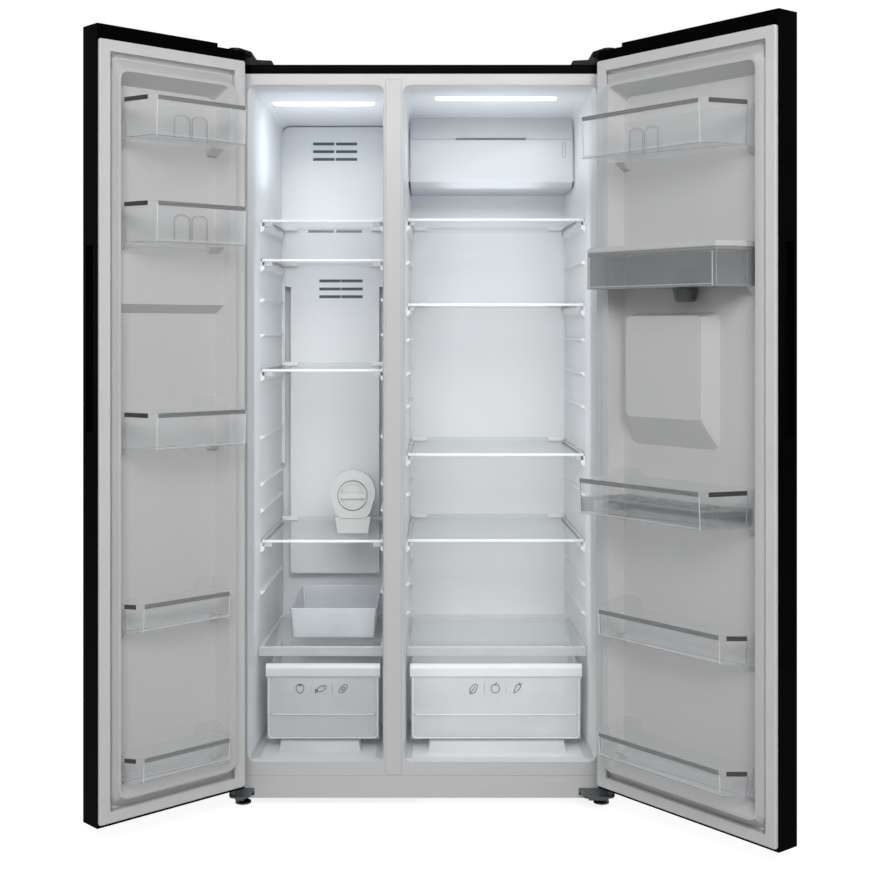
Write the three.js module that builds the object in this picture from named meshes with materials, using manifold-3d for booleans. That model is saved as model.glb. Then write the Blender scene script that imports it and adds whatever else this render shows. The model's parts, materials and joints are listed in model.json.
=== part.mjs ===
// Side by side refrigerator: freezer on the left, fridge on the right, both doors standing open.
// Millimetres, +Z up, the front faces -Y. Doors are drawn closed and then turned about their hinge pins.
import * as THREE from 'three';
import { ConvexGeometry } from 'three/addons/geometries/ConvexGeometry.js';
import { mergeVertices } from 'three/addons/utils/BufferGeometryUtils.js';
import Module from 'manifold-3d';

const wasm = await Module();
wasm.setup();

// ---------------------------------------------------------------- driving dimensions

const SEAT = 0.3; // gap between two pieces that rest on or fit in each other
const THROUGH = 2; // how far a cut runs past the surface it opens

const CABINET = { width: 895, depth: 623, top: 1741, skirt: 30, skin: 1.5, corner: 5, flange: 21 };
const SPLIT = CABINET.width * 0.0726; // the doors meet this far left of the cabinet's middle
const FRAME = { thickness: 3, side: 38, head: 25.5, sill: 31.4, cornerRadius: 17 };
const MULLION = { offset: 2.2, width: 44.6, coverWidth: 37.5, coverThickness: 1.2 };
const KICK = { bottom: 22, top: 73.7, thickness: 2, lip: 9 };
const FOAM_FLOOR = 62; // underside of the cabinet foam
const LINER = { wall: 2, backFoam: 68, ceilingDrop: 9.5, ceilingTaper: 12, floorRise: 2.5, mouthDepth: 27 };
// The machine hump is measured from the liner's back and floor, the bay under it from the cabinet's back.
const HUMP = { foot: 250, shoulder: 103, height: 233 };
const BAY = { foot: 248, shoulder: 123, top: 286 };
const PLATFORM = { front: 72, height: 25, inset: 58, edge: 6 }; // raised floor that carries a drawer
const RIB = { reach: 9, depth: 12, shelfDepth: 27, lip: 4, front: 146, back: 57 };

const DOOR = {
  gap: 5,
  bottom: 63.3,
  rise: 28.6,
  skin: 2,
  thickness: 62,
  cornerRadius: 4,
  notch: 74,
  notchDrop: 8.6,
};
const GASKET = {
  face: -0.5,
  thickness: 9.6,
  hingeInset: 12,
  freeInset: 1,
  endInset: 7.2,
  topInset: 33,
  bulb: 25,
  width: 28,
  hingeNarrower: 4,
  hingeReach: 8,
  flap: 4,
  radius: 4,
};
const DIKE = { height: 24, outerDraft: 9, rim: 7, hingeRim: 18, innerDraft: 12, radius: 22 };
const PAN = { depth: 15 }; // door liner floor, below the gasket face
const OPENING_CLEARANCE = 2.2; // door liner to cabinet opening, where the closed door reaches in
const BRACKET = { left: 54, right: 80, plate: 4, deck: 41, bottom: 28, bush: 9, lip: 4 };
const ARM = { plate: 3.5, width: 39, base: 70, side: 4, lift: 1.5 };
const CAP = { wall: 2, gap: 1, rise: 30, lowRise: 12, raised: 56, length: 96, rear: 86, front: 52 };
const HINGE = { inset: 10, setBack: 41.5, pin: 4.8, pinFit: 0.4, pinReach: 22 };
const OPEN_ANGLE = { left: 136.5, right: 128.5 }; // degrees from closed

const SHELF = { thickness: 5, side: 1.6, front: 140, backLip: 8, backLipDepth: 4, corner: 8 };
const COVER = { thickness: 5, front: 100, band: 22, bandDepth: 7, back: 104, overDrawer: 14.3 };
// Levels inside and on the doors are shares of the opening's height, from its bottom.
const FREEZER_SHELVES = [0.8077, 0.7469, 0.5771, 0.3138];
const FRIDGE_SHELVES = [0.8093, 0.6784, 0.4472, 0.3148];
const FREEZER_SPARE_RIBS = [0.6864, 0.6323, 0.4749, 0.4026, 0.3617, 0.2358];
const FRIDGE_SPARE_RIBS = [0.7443, 0.6247, 0.5731, 0.5222, 0.3868, 0.2484, 0.2043];

const DRAWER = { front: 80, wall: 2.5, humpGap: 16, height: 169, handle: 16, step: 62 };
const HANDLE = { band: 36, depth: 9 };
const ICE_BIN = { front: 198, back: 45, height: 74, wall: 2.5, draft: 6, left: 64, right: 20 };
// The rounded front stands on a tapered foot, and the ice tray lies behind it.
const ICE_MAKER = { radius: 57, axis: 104, base: 39, front: 255, plate: 26, inset: 83, rearGap: 30 };
const ICE_TRAY = { width: 72, top: 124, leg: 24 };
const ICE_KNOB = { radius: 36, drop: 8, bar: 14 };
const REAR_COVER = { depth: 35, wall: 2.5, head: 11, step: 0.7116, bottom: 0.2219, side: 7, lowerInset: 17 };
const DUCT = { depth: 217, height: 207, crease: 81, wall: 2.5, side: 5, lean: 14, sole: 22 };
const LIGHT = { depth: 20, height: 5 };
const FREEZER_LIGHT = { front: 176, left: 26, right: 26 };
const FRIDGE_LIGHT = { front: 106, left: 71, right: 72 };
const EVAPORATOR = { bottom: 0.261, top: 0.6386, fins: 4, fin: 1.2, tube: 4, rows: 3, depth: 26, side: 40 };

const BIN = { wall: 2.4, draft: 4, bead: 11, beadOut: 1.2, tabWidth: 52, back: -14.2 };
const DISPENSER = { centre: 218, width: 188, level: 0.5278, height: 208 }; // centre along the right door
const NICHE = { back: 12, wall: 2.5, radius: 14, taper: 6 };
const BEZEL = { margin: 12, proud: 1.5 };
const BULGE = { face: 20, side: 8, hingeSide: 21, drop: 16, sweep: 65, flank: 23, radius: 12 };
const STEP = { face: 8, bottom: 0.6606, top: 0.7519, slope: 20 }; // step behind the left door's controls
const TAP = { along: 272, out: 14, cup: 28, drop: 30, nut: 24, nutHeight: 41, stem: 13 };
const WATER_WAY = { tube: 7, drop: 20 };
const SPOUT = { out: -36, reach: 23 };
const PADDLE = { width: 46, thickness: 4, length: 112, drop: 36, out: -12, barrel: 5, pin: 2.4 };
const GRIP = { bottom: 0.502, top: 0.7519, depth: 12, front: 14, width: 30, wall: 2 };

const FOOT = { inset: 23.5, y: 34, pad: 19, stud: 5, hex: 11 };
const RAIL = { width: 40, wall: 2.5, bottom: 24 };
const TRAY = { front: 188, rise: 12 };
const COMPRESSOR = { radius: 72, height: 178, x: 150, back: 91, plate: 3 };

// ---------------------------------------------------------------- derived sizes

const halfWidth = CABINET.width / 2;
const frameTop = CABINET.top - CABINET.flange - SEAT;
const opening = {
  side: halfWidth - FRAME.side,
  bottom: KICK.top + SEAT + FRAME.sill,
  top: frameTop - FRAME.head,
};
const level = (share) => opening.bottom + share * (opening.top - opening.bottom);
const mullionX = -SPLIT - MULLION.offset;
const mullionLeft = mullionX - MULLION.width / 2;
const mullionRight = mullionX + MULLION.width / 2;
const hingeX = halfWidth - HINGE.inset;
const gasketHingeX = halfWidth - GASKET.hingeInset;
const slabBack = GASKET.face - GASKET.thickness - SEAT; // inner face of a closed door's slab
const slabFront = slabBack - DOOR.thickness;
const panFloor = GASKET.face - PAN.depth;
const doorTop = CABINET.top + DOOR.rise;
const notchTop = doorTop - DOOR.notchDrop;
const gasketBottom = DOOR.bottom + GASKET.endInset;
const gasketTop = doorTop - GASKET.topInset;
const linerBack = CABINET.depth - LINER.backFoam;
const coverFront = linerBack - REAR_COVER.depth;
const platformTop = opening.bottom + PLATFORM.height;
const humpTop = opening.bottom + HUMP.height;
const handleTop = platformTop + SEAT + DRAWER.height + DRAWER.handle;
const coverTop = handleTop + COVER.overDrawer + COVER.band;
const iceShelf = level(FREEZER_SHELVES[3]); // the ice maker stands on the lowest freezer shelf
const nicheBottom = level(DISPENSER.level);
const nicheTop = nicheBottom + DISPENSER.height;
const footX = halfWidth - FOOT.inset;
const footRow = [FOOT.y, CABINET.depth - SEAT - FOOT.y];
const trayTop = RAIL.bottom + TRAY.rise + CABINET.skin;

// ---------------------------------------------------------------- shape helpers

// Closed outline through [x, y, radius] corners, each rounded by its own arc.
function outline(corners) {
  const shape = new THREE.Shape();
  const goTo = (i, point) => (i === 0 ? shape.moveTo(point.x, point.y) : shape.lineTo(point.x, point.y));
  corners.forEach(([x, y, radius = 0], i) => {
    const corner = new THREE.Vector2(x, y);
    if (radius <= 0) {
      goTo(i, corner);
      return;
    }
    const before = new THREE.Vector2(...corners.at(i - 1)).sub(corner).normalize();
    const after = new THREE.Vector2(...corners[(i + 1) % corners.length]).sub(corner).normalize();
    const half = before.angleTo(after) / 2;
    const middle = before.clone().add(after).normalize();
    const centre = corner.clone().addScaledVector(middle, radius / Math.sin(half));
    const [from, to] = [before, after].map((way) =>
      corner.clone().addScaledVector(way, radius / Math.tan(half)).sub(centre).angle(),
    );
    const arc = new THREE.EllipseCurve(centre.x, centre.y, radius, radius, from, to, before.cross(after) > 0);
    goTo(i, arc.getPoint(0));
    shape.absarc(centre.x, centre.y, radius, from, to, before.cross(after) > 0);
  });
  return shape;
}

function rounded(x0, x1, y0, y1, radius = 0) {
  return outline([
    [x0, y0, radius],
    [x1, y0, radius],
    [x1, y1, radius],
    [x0, y1, radius],
  ]);
}

function circle(x, y, radius, sides = 12) {
  const corners = Array.from({ length: sides }, (_, i) => {
    const angle = ((i + 0.5) * 2 * Math.PI) / sides;
    return [x + radius * Math.cos(angle), y + radius * Math.sin(angle)];
  });
  return outline(corners);
}

function solid(geometry) {
  const bare = new THREE.BufferGeometry();
  bare.setAttribute('position', geometry.getAttribute('position'));
  if (geometry.index) bare.setIndex(geometry.index);
  const merged = mergeVertices(bare, 1e-4);
  return new wasm.Manifold(
    new wasm.Mesh({
      numProp: 3,
      vertProperties: merged.attributes.position.array,
      triVerts: new Uint32Array(merged.index.array),
    }),
  );
}

// Where a point of an outline lands when the outline stands across the given axis.
const STAND = {
  x: (a, b, along) => new THREE.Vector3(along, a, b),
  y: (a, b, along) => new THREE.Vector3(a, along, b),
  z: (a, b, along) => new THREE.Vector3(a, b, along),
};

// An outline pushed along an axis: (y, z) outlines along x, (x, z) along y, (x, y) along z.
function prism(axis, shape, from, to, fineness = 1) {
  const settings = { depth: to - from, bevelEnabled: false, curveSegments: fineness };
  const geometry = new THREE.ExtrudeGeometry(shape, settings);
  if (axis === 'y') {
    geometry.translate(0, 0, -to);
    geometry.rotateX(Math.PI / 2);
  } else {
    geometry.translate(0, 0, from);
  }
  if (axis === 'x') geometry.rotateX(Math.PI / 2).rotateZ(Math.PI / 2);
  return solid(geometry);
}

// The convex solid through outlines that stand across one axis: [outline, position] pairs.
function loft(axis, sections, fineness = 1) {
  const points = sections.flatMap(([shape, along]) =>
    shape.getPoints(fineness).map((p) => STAND[axis](p.x, p.y, along)),
  );
  return solid(new ConvexGeometry(points));
}

function box(x0, x1, y0, y1, z0, z1) {
  const geometry = new THREE.BoxGeometry(x1 - x0, y1 - y0, z1 - z0);
  geometry.translate((x0 + x1) / 2, (y0 + y1) / 2, (z0 + z1) / 2);
  return solid(geometry);
}

// A solid of revolution about a vertical axis at (x, y), from [radius, height] pairs.
function turned(x, y, profile, segments = 12) {
  const points = profile.map(([radius, height]) => new THREE.Vector2(radius, height));
  const geometry = new THREE.LatheGeometry(points, segments);
  geometry.rotateX(Math.PI / 2);
  geometry.translate(x, y, 0);
  return solid(geometry);
}

function pin(x, y, radius, from, to, segments = 12) {
  return turned(x, y, [[0, from], [radius, from], [radius, to], [0, to]], segments);
}

function union(...solids) {
  return solids.flat().reduce((whole, next) => whole.add(next));
}

function cut(whole, ...tools) {
  return tools.flat().reduce((left, tool) => left.subtract(tool), whole);
}

// ---------------------------------------------------------------- materials

function finish(colour, roughness, metalness = 0, opacity = 1) {
  return { color: colour, roughness, metalness, opacity, transparent: opacity < 1 };
}

const BLACK_GLOSS = finish(0x08080a, 0.15);
const BLACK_PLASTIC = finish(0x111113, 0.5);
const FRAME_GREY = finish(0xd6d5d3, 0.45);
const LINER_WHITE = finish(0xe9edf2, 0.4);
const GASKET_GREY = finish(0xd2d2d0, 0.7);
const CLEAR = finish(0xe8eef2, 0.1, 0, 0.35);
const SMOKED = finish(0x8f9498, 0.12, 0, 0.6);
const GLASS = finish(0xe4f0f2, 0.05, 0, 0.35);
const STEEL = finish(0x8d9296, 0.35, 0.9);
const DARK_STEEL = finish(0x2b2d30, 0.45, 0.6);
const FOAM = finish(0xe9dfb8, 0.9);

function mesh(name, body, material) {
  const { vertProperties, triVerts } = body.getMesh();
  const geometry = new THREE.BufferGeometry();
  geometry.setAttribute('position', new THREE.BufferAttribute(vertProperties, 3));
  geometry.setIndex(new THREE.BufferAttribute(triVerts, 1));
  geometry.computeVertexNormals();
  const made = new THREE.Mesh(geometry, new THREE.MeshStandardMaterial({ ...material, flatShading: true }));
  made.name = name;
  return made;
}

// ---------------------------------------------------------------- liners

// A compartment: its mouth in the frame, and how far each side wall steps in and tapers.
const FREEZER = {
  x0: -opening.side,
  x1: mullionLeft,
  step0: 9.5,
  step1: 4,
  taper0: 14,
  taper1: 4,
  drawerGaps: [25, 11],
  shelves: FREEZER_SHELVES.map(level),
  spareRibs: FREEZER_SPARE_RIBS.map(level),
};
const FRIDGE = {
  x0: mullionRight,
  x1: opening.side,
  step0: 4,
  step1: 9.5,
  taper0: 4,
  taper1: 14,
  drawerGaps: [13.5, 18],
  shelves: FRIDGE_SHELVES.map(level),
  spareRibs: FRIDGE_SPARE_RIBS.map(level),
};

const mouthFront = FRAME.thickness + SEAT;
const mouthBack = mouthFront + LINER.mouthDepth;

// The compartment's four walls at a depth y behind the mouth, moved outwards by grow.
function walls(room, y, grow = 0) {
  const step = THREE.MathUtils.clamp((y - mouthFront) / LINER.mouthDepth, 0, 1);
  const taper = Math.max(0, (y - mouthBack) / (linerBack - mouthBack));
  return {
    x0: room.x0 + room.step0 * step + room.taper0 * taper - grow,
    x1: room.x1 - room.step1 * step - room.taper1 * taper + grow,
    z0: opening.bottom + LINER.floorRise * step - grow,
    z1: opening.top - LINER.ceilingDrop * step - LINER.ceilingTaper * taper + grow,
  };
}

function section(room, y, grow) {
  const { x0, x1, z0, z1 } = walls(room, y, grow);
  return rounded(x0, x1, z0, z1, FRAME.cornerRadius + grow);
}

// The space inside a liner, or inside the foam round it when grown by the liner's wall.
function cavity(room, grow) {
  const mouth = loft('y', [
    [section(room, mouthFront, grow), mouthFront],
    [section(room, mouthBack, grow), mouthBack],
  ]);
  const main = loft('y', [
    [section(room, mouthBack, grow), mouthBack - grow],
    [section(room, linerBack, grow), linerBack + grow],
  ]);
  const run = HUMP.foot - HUMP.shoulder;
  const slope = run / HUMP.height;
  const humpFoot = linerBack - HUMP.foot + grow * Math.hypot(1, slope);
  const at = (z) => humpFoot + (z - opening.bottom) * slope;
  const far = linerBack + grow + THROUGH;
  const below = opening.bottom - grow - THROUGH;
  const hump = outline([
    [at(below), below],
    [far, below],
    [far, humpTop - grow],
    [at(humpTop - grow), humpTop - grow, 12],
  ]);
  const { x0, x1 } = walls(room, PLATFORM.front);
  const inset = PLATFORM.inset + grow;
  const front = PLATFORM.front + grow;
  const rear = linerBack - HUMP.foot + 40;
  const platform = loft('z', [
    [rounded(x0 + inset - PLATFORM.edge, x1 - inset + PLATFORM.edge, front, rear), below],
    [rounded(x0 + inset, x1 - inset, front + PLATFORM.edge, rear, 8), platformTop - grow],
  ]);
  return cut(
    union(mouth, main),
    prism('x', hump, x0 - 100, x1 + 100),
    platform,
  );
}

// A rib along one side wall: flat on top, sloped underneath.
function rib(room, side, top, depth) {
  const ends = [RIB.front, linerBack - RIB.back].map((y) => {
    const wall = side < 0 ? walls(room, y).x0 : walls(room, y).x1;
    const tip = wall - side * RIB.reach;
    const root = wall + side * THROUGH;
    const profile = [
      [root, top],
      [tip, top],
      [tip, top - depth + RIB.depth - RIB.lip],
      [root, top - depth],
    ];
    return [outline(profile), y];
  });
  return loft('y', ends);
}

function liner(room) {
  const shell = cut(cavity(room, LINER.wall), cavity(room, 0));
  const carrying = room.shelves.map((top) => [top - SHELF.thickness - SEAT, RIB.shelfDepth]);
  const spare = room.spareRibs.map((top) => [top, RIB.depth]);
  const levels = [...carrying, ...spare, [coverTop - COVER.thickness - SEAT, RIB.depth]];
  const ribs = union([-1, 1].flatMap((side) => levels.map(([top, depth]) => rib(room, side, top, depth))));
  return union(shell, ribs.intersect(cavity(room, LINER.wall)));
}

// ---------------------------------------------------------------- cabinet

function outerCabinet() {
  const { width, depth, top, skirt, skin, corner, flange } = CABINET;
  const wrap = (inset, y0, y1, z0) => {
    const half = width / 2 - inset;
    const round = corner - inset;
    const shape = outline([
      [-half, z0],
      [half, z0],
      [half, top - inset, round],
      [-half, top - inset, round],
    ]);
    return prism('y', shape, y0, y1);
  };
  const tube = cut(wrap(0, 0, depth, skirt), wrap(skin, -THROUGH, depth + THROUGH, skirt - THROUGH));
  const frontFlange = box(-width / 2 + skin, width / 2 - skin, 0, skin, top - flange, top - skin / 2);
  const belowFlange = box(-width, width, -THROUGH, mouthFront, 0, top - flange);
  return union(cut(tube, belowFlange), frontFlange);
}

function frontFrame() {
  const sheet = rounded(-halfWidth, halfWidth, KICK.top + SEAT, frameTop, 1.5);
  const windows = [FREEZER, FRIDGE].map((room) => {
    const window = rounded(room.x0, room.x1, opening.bottom, opening.top, FRAME.cornerRadius);
    return prism('y', window, -THROUGH, FRAME.thickness + THROUGH);
  });
  return cut(prism('y', sheet, 0, FRAME.thickness), windows, mullionPlate(SEAT, -THROUGH));
}

// The mullion cover is let into the frame, flush with it.
function mullionPlate(grow, front) {
  const half = MULLION.coverWidth / 2 + grow;
  const bottom = opening.bottom - FRAME.sill + FRAME.thickness;
  const top = opening.top + FRAME.head / 2;
  const shape = rounded(mullionX - half, mullionX + half, bottom - grow, top + grow, 3);
  return prism('y', shape, front, MULLION.coverThickness + grow);
}

function kickPlate() {
  const half = halfWidth - SEAT;
  const inner = halfWidth - CABINET.skin - SEAT;
  const face = box(-half, half, 0, KICK.thickness, KICK.bottom, KICK.top);
  const hem = box(-inner, inner, 0, KICK.lip, KICK.bottom, KICK.bottom + KICK.thickness);
  const notches = [-1, 1].map((side) => {
    const width = side < 0 ? BRACKET.left : BRACKET.right;
    const edge = side * (halfWidth - width - SEAT);
    const top = BRACKET.deck + BRACKET.plate;
    const [x0, x1] = side < 0 ? [-halfWidth - 1, edge] : [edge, halfWidth + 1];
    return box(x0, x1, -THROUGH, KICK.lip + THROUGH, BRACKET.bottom - SEAT, top + SEAT);
  });
  return cut(union(face, hem), notches);
}

// The machine bay's sloped front and flat roof, moved away from the foam by drop.
function bayProfile(drop) {
  const slope = (BAY.foot - BAY.shoulder) / (BAY.top - FOAM_FLOOR);
  const foot = CABINET.depth - BAY.foot + drop * Math.hypot(1, slope);
  const at = (z) => foot + (z - FOAM_FLOOR) * slope;
  return { at, foot, top: BAY.top - drop, shoulder: at(BAY.top - drop) };
}

function cabinetFoam() {
  const front = mouthFront;
  const back = CABINET.depth - SEAT;
  const bay = bayProfile(0);
  const side = outline([
    [front, FOAM_FLOOR],
    [bay.foot, FOAM_FLOOR],
    [bay.shoulder, bay.top],
    [back, bay.top],
    [back, CABINET.top - CABINET.skin - SEAT],
    [front, CABINET.top - CABINET.skin - SEAT],
  ]);
  const half = halfWidth - CABINET.skin - SEAT;
  const block = prism('x', side, -half, half);
  const edges = rounded(-half, half, -20, CABINET.top - CABINET.skin - SEAT, CABINET.corner);
  return cut(
    block.intersect(prism('y', edges, 0, CABINET.depth)),
    cavity(FREEZER, LINER.wall + SEAT),
    cavity(FRIDGE, LINER.wall + SEAT),
  );
}

function backPanel() {
  const { width, depth, top, skin, corner } = CABINET;
  const front = depth + SEAT;
  const back = front + skin;
  const sheet = prism('y', rounded(-width / 2, width / 2, BAY.top, top, corner), front, back);
  const beads = [-2, -1, 0, 1, 2].map((i) => {
    const x = (i * width) / 6;
    const foot = rounded(x - 16, x + 16, BAY.top + 60, top - 60);
    const crown = rounded(x - 9, x + 9, BAY.top + 67, top - 67);
    return loft('y', [[foot, back - skin / 2], [crown, back + 2.5]]);
  });
  return union(sheet, beads);
}

// Deck sheet under the foam, side rails on it, a front beam, and the tray that carries the compressor.
function basePan() {
  const skin = CABINET.skin;
  const half = halfWidth - skin - SEAT;
  const top = FOAM_FLOOR - SEAT;
  const upper = bayProfile(SEAT);
  const lower = bayProfile(SEAT + skin);
  const back = CABINET.depth - SEAT;
  const deck = outline([
    [mouthFront + SEAT, top - skin],
    [lower.at(top - skin), top - skin],
    [lower.shoulder, lower.top],
    [back, lower.top],
    [back, upper.top],
    [upper.shoulder, upper.top],
    [upper.at(top), top],
    [mouthFront + SEAT, top],
  ]);
  const beamFront = KICK.lip + 2 * SEAT + BRACKET.plate;
  const rails = [-1, 1].map((side) => {
    const [x0, x1] = side < 0 ? [-half, -half + RAIL.width] : [half - RAIL.width, half];
    const outer = box(x0, x1, beamFront, back, RAIL.bottom, top);
    const floor = RAIL.bottom + RAIL.wall;
    const hollow = box(x0 + RAIL.wall, x1 - RAIL.wall, -THROUGH, back + THROUGH, floor, top - skin);
    const hole = pin(side * footX, footRow[0], FOOT.stud + SEAT, RAIL.bottom - THROUGH, floor + THROUGH);
    return cut(outer, hollow, hole);
  });
  const beam = box(-half, half, beamFront, beamFront + skin, RAIL.bottom, top - skin / 2);
  const trayFront = CABINET.depth - TRAY.front;
  const tray = box(-half + skin, half - skin, trayFront, back, trayTop - skin, trayTop);
  const bulkhead = box(-half + skin, half - skin, trayFront, trayFront + skin, trayTop - skin, BAY.top);
  const underDeck = prism('x', outline([
    [lower.at(0), 0],
    [lower.shoulder, lower.top + skin / 2],
    [back + THROUGH, lower.top + skin / 2],
    [back + THROUGH, 0],
  ]), -half, half);
  const pads = [-1, 1].map((side) => {
    const profile = [[0, 0], [14, 0], [17, 3], [12, 12], [12, RAIL.bottom + 1], [0, RAIL.bottom + 1]];
    return turned(side * footX, footRow[1], profile, 8);
  });
  return union(prism('x', deck, -half, half), rails, beam, tray, bulkhead.intersect(underDeck), pads);
}

function foot(side) {
  const { pad, stud, hex } = FOOT;
  const shoulder = RAIL.bottom - SEAT;
  const tip = FOAM_FLOOR - 12;
  const profile = [[0, 0], [pad, 0], [pad, 4], [stud + 3, 8], [stud, 9], [stud, tip], [0, tip]];
  const base = turned(side * footX, footRow[0], profile, 10);
  const collar = prism('z', circle(side * footX, footRow[0], hex, 6), shoulder - 7, shoulder);
  return union(base, collar);
}

function compressor() {
  const { radius, height, x, back, plate: gauge } = COMPRESSOR;
  const y = CABINET.depth - back;
  const deck = trayTop + SEAT;
  const low = deck + 14;
  const can = turned(x, y, [
    [0, low],
    [radius * 0.7, low],
    [radius * 0.95, low + 14],
    [radius, low + 30],
    [radius, low + height * 0.5],
    [radius * 0.94, low + height * 0.5 + 2],
    [radius * 0.9, low + height * 0.72],
    [radius * 0.62, low + height * 0.86],
    [0, low + height * 0.9],
  ], 14);
  const base = prism('z', rounded(x - 105, x + 105, y - 62, y + 62, 14), low - 2, low + gauge);
  const grommets = [-1, 1].flatMap((a) =>
    [-1, 1].map((b) => turned(x + a * 88, y + b * 46, [[0, deck], [12, deck], [9, low], [0, low]], 6)),
  );
  const stub = prism('x', circle(y + 20, low + 70, 5, 8), x + radius - 12, x + radius + 34);
  const lid = rounded(x - 24, x + 24, low + 34, low + 84, 5);
  const terminals = prism('y', lid, y - radius - 16, y - radius + 12);
  return union(can, base, grommets, stub, terminals);
}

function compressorCover() {
  const half = halfWidth - CABINET.skin - SEAT;
  const bottom = trayTop + SEAT;
  const top = BAY.top - 2 * SEAT - CABINET.skin;
  const front = CABINET.depth - 14;
  const sheet = prism('y', rounded(-half + RAIL.width, half - RAIL.width, bottom, top, 4), front, front + 2);
  const upper = prism('y', rounded(-half, half, FOAM_FLOOR + SEAT, top, 4), front, front + 2);
  const slots = [];
  for (const bank of [-1, 1]) {
    for (let row = 0; row < 4; row += 1) {
      const z = 122 + row * 30;
      const x = bank * 230;
      slots.push(prism('y', rounded(x - 110, x + 110, z, z + 9), front - THROUGH, front + 4));
    }
  }
  const gland = prism('y', circle(0, 110, 13), front - 4, front + 9);
  const cordHole = prism('y', circle(0, 110, 5, 8), front - 6, front + 12);
  return cut(union(sheet, upper, gland), slots, cordHole);
}

// ---------------------------------------------------------------- hinges

function bottomHinge(side) {
  const x = (inset) => side * (halfWidth - inset);
  const span = (a, b) => [Math.min(x(a), x(b)), Math.max(x(a), x(b))];
  const { plate: gauge, deck, bottom, bush, lip } = BRACKET;
  const width = side < 0 ? BRACKET.left : BRACKET.right;
  const behind = KICK.lip + SEAT;
  const nose = -HINGE.setBack - 22;
  const edge = CABINET.skin + 2 * SEAT;
  const [x0, x1] = span(edge, width);
  const flange = box(x0, x1, behind, behind + gauge, bottom, deck + gauge);
  const plan = outline([
    [x(edge), behind + 1],
    [x(edge), nose, 16],
    [x(width - 6), nose, 10],
    [x(width), 0],
    [x(width), behind + 1],
  ]);
  const table = prism('z', plan, deck, deck + gauge);
  const [l0, l1] = span(18, width - 16);
  const apron = box(l0, l1, nose, nose + gauge, deck - lip, deck + 1);
  const post = turned(side * hingeX, -HINGE.setBack, [
    [0, deck],
    [bush, deck],
    [bush, DOOR.bottom - SEAT],
    [HINGE.pin, DOOR.bottom - SEAT],
    [HINGE.pin, DOOR.bottom + HINGE.pinReach],
    [0, DOOR.bottom + HINGE.pinReach],
  ], 10);
  const screws = [20, width - 16].map((inset) =>
    prism('y', circle(x(inset), bottom + 6, 5, 6), behind - 3, behind + 1),
  );
  return union(flange, table, apron, post, screws);
}

function topHinge(side) {
  const x = (inset) => side * (halfWidth - inset);
  const span = (a, b) => [Math.min(x(a), x(b)), Math.max(x(a), x(b))];
  const { plate: gauge, width, base, side: edge } = ARM;
  const deck = CABINET.top + SEAT;
  const armBottom = notchTop + ARM.lift;
  const nose = -HINGE.setBack - 7;
  const riserFront = CAP.gap + CAP.wall + 2;
  const [b0, b1] = span(edge + 5, edge + base);
  const foot = prism('z', rounded(b0, b1, riserFront, 74, 8), deck, deck + gauge);
  const [r0, r1] = span(edge, edge + width);
  const riser = box(r0, r1, riserFront, riserFront + gauge, deck, armBottom + gauge);
  const plan = outline([
    [x(edge), riserFront + gauge],
    [x(edge), nose, 8],
    [x(edge + 18), nose, 8],
    [x(edge + width), 0, 10],
    [x(edge + width), riserFront + gauge],
  ]);
  const arm = prism('z', plan, armBottom, armBottom + gauge);
  const hingePin = pin(side * hingeX, -HINGE.setBack, HINGE.pin, notchTop - HINGE.pinReach, armBottom + 1);
  const screws = [26, 62].map((inset) => pin(x(inset), 48, 5.5, deck + 2, deck + gauge + 3, 6));
  return union(foot, riser, arm, hingePin, screws);
}

function hingeCover(side) {
  const x = (inset) => side * (halfWidth - inset);
  const floor = CABINET.top + SEAT;
  const browFloor = notchTop + SEAT;
  const top = CABINET.top + CAP.rise;
  const low = CABINET.top + CAP.lowRise;
  const main = (grow, bottom) => {
    const { raised, length, rear } = CAP;
    const profile = outline([
      [x(-grow), bottom],
      [x(-grow), top - 4 + grow],
      [x(4 - grow), top + grow],
      [x(raised - 8 + grow), top + grow, 4],
      [x(raised + grow), low + grow, 3],
      [x(length + grow), low - 2 + grow, 4],
      [x(length + grow), bottom],
    ]);
    return prism('y', profile, CAP.gap - grow, rear + grow);
  };
  const brow = (grow, bottom) => {
    const { raised, front } = CAP;
    const plan = outline([
      [x(-grow), 4],
      [x(-grow), -front - grow, 12 + grow],
      [x(24 + grow), -front - grow, 12 + grow],
      [x(raised - 9 + grow), -4, 6],
      [x(raised - 9 + grow), 4],
    ]);
    return prism('z', plan, bottom, top + grow);
  };
  const outer = union(main(0, floor), brow(0, browFloor));
  const inside = [main(-CAP.wall, floor - THROUGH), brow(-CAP.wall, browFloor - THROUGH)];
  return cut(outer, inside);
}

// ---------------------------------------------------------------- inside the compartments

function shelf(room, top) {
  const back = room === FREEZER ? coverFront - 4 : linerBack - SEAT;
  const front = walls(room, SHELF.front);
  const rear = walls(room, back);
  const plan = outline([
    [front.x0 + SHELF.side, SHELF.front, SHELF.corner],
    [front.x1 - SHELF.side, SHELF.front, SHELF.corner],
    [rear.x1 - SHELF.side, back, 3],
    [rear.x0 + SHELF.side, back, 3],
  ]);
  const plate = prism('z', plan, top - SHELF.thickness, top, 1);
  const lip = prism('x', outline([
    [back - SHELF.backLipDepth, top - 1],
    [back, top - 1],
    [back, top + SHELF.backLip, 1.5],
    [back - SHELF.backLipDepth, top + SHELF.backLip, 1.5],
  ]), rear.x0 + 12, rear.x1 - 12, 1);
  return union(plate, lip);
}

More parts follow.
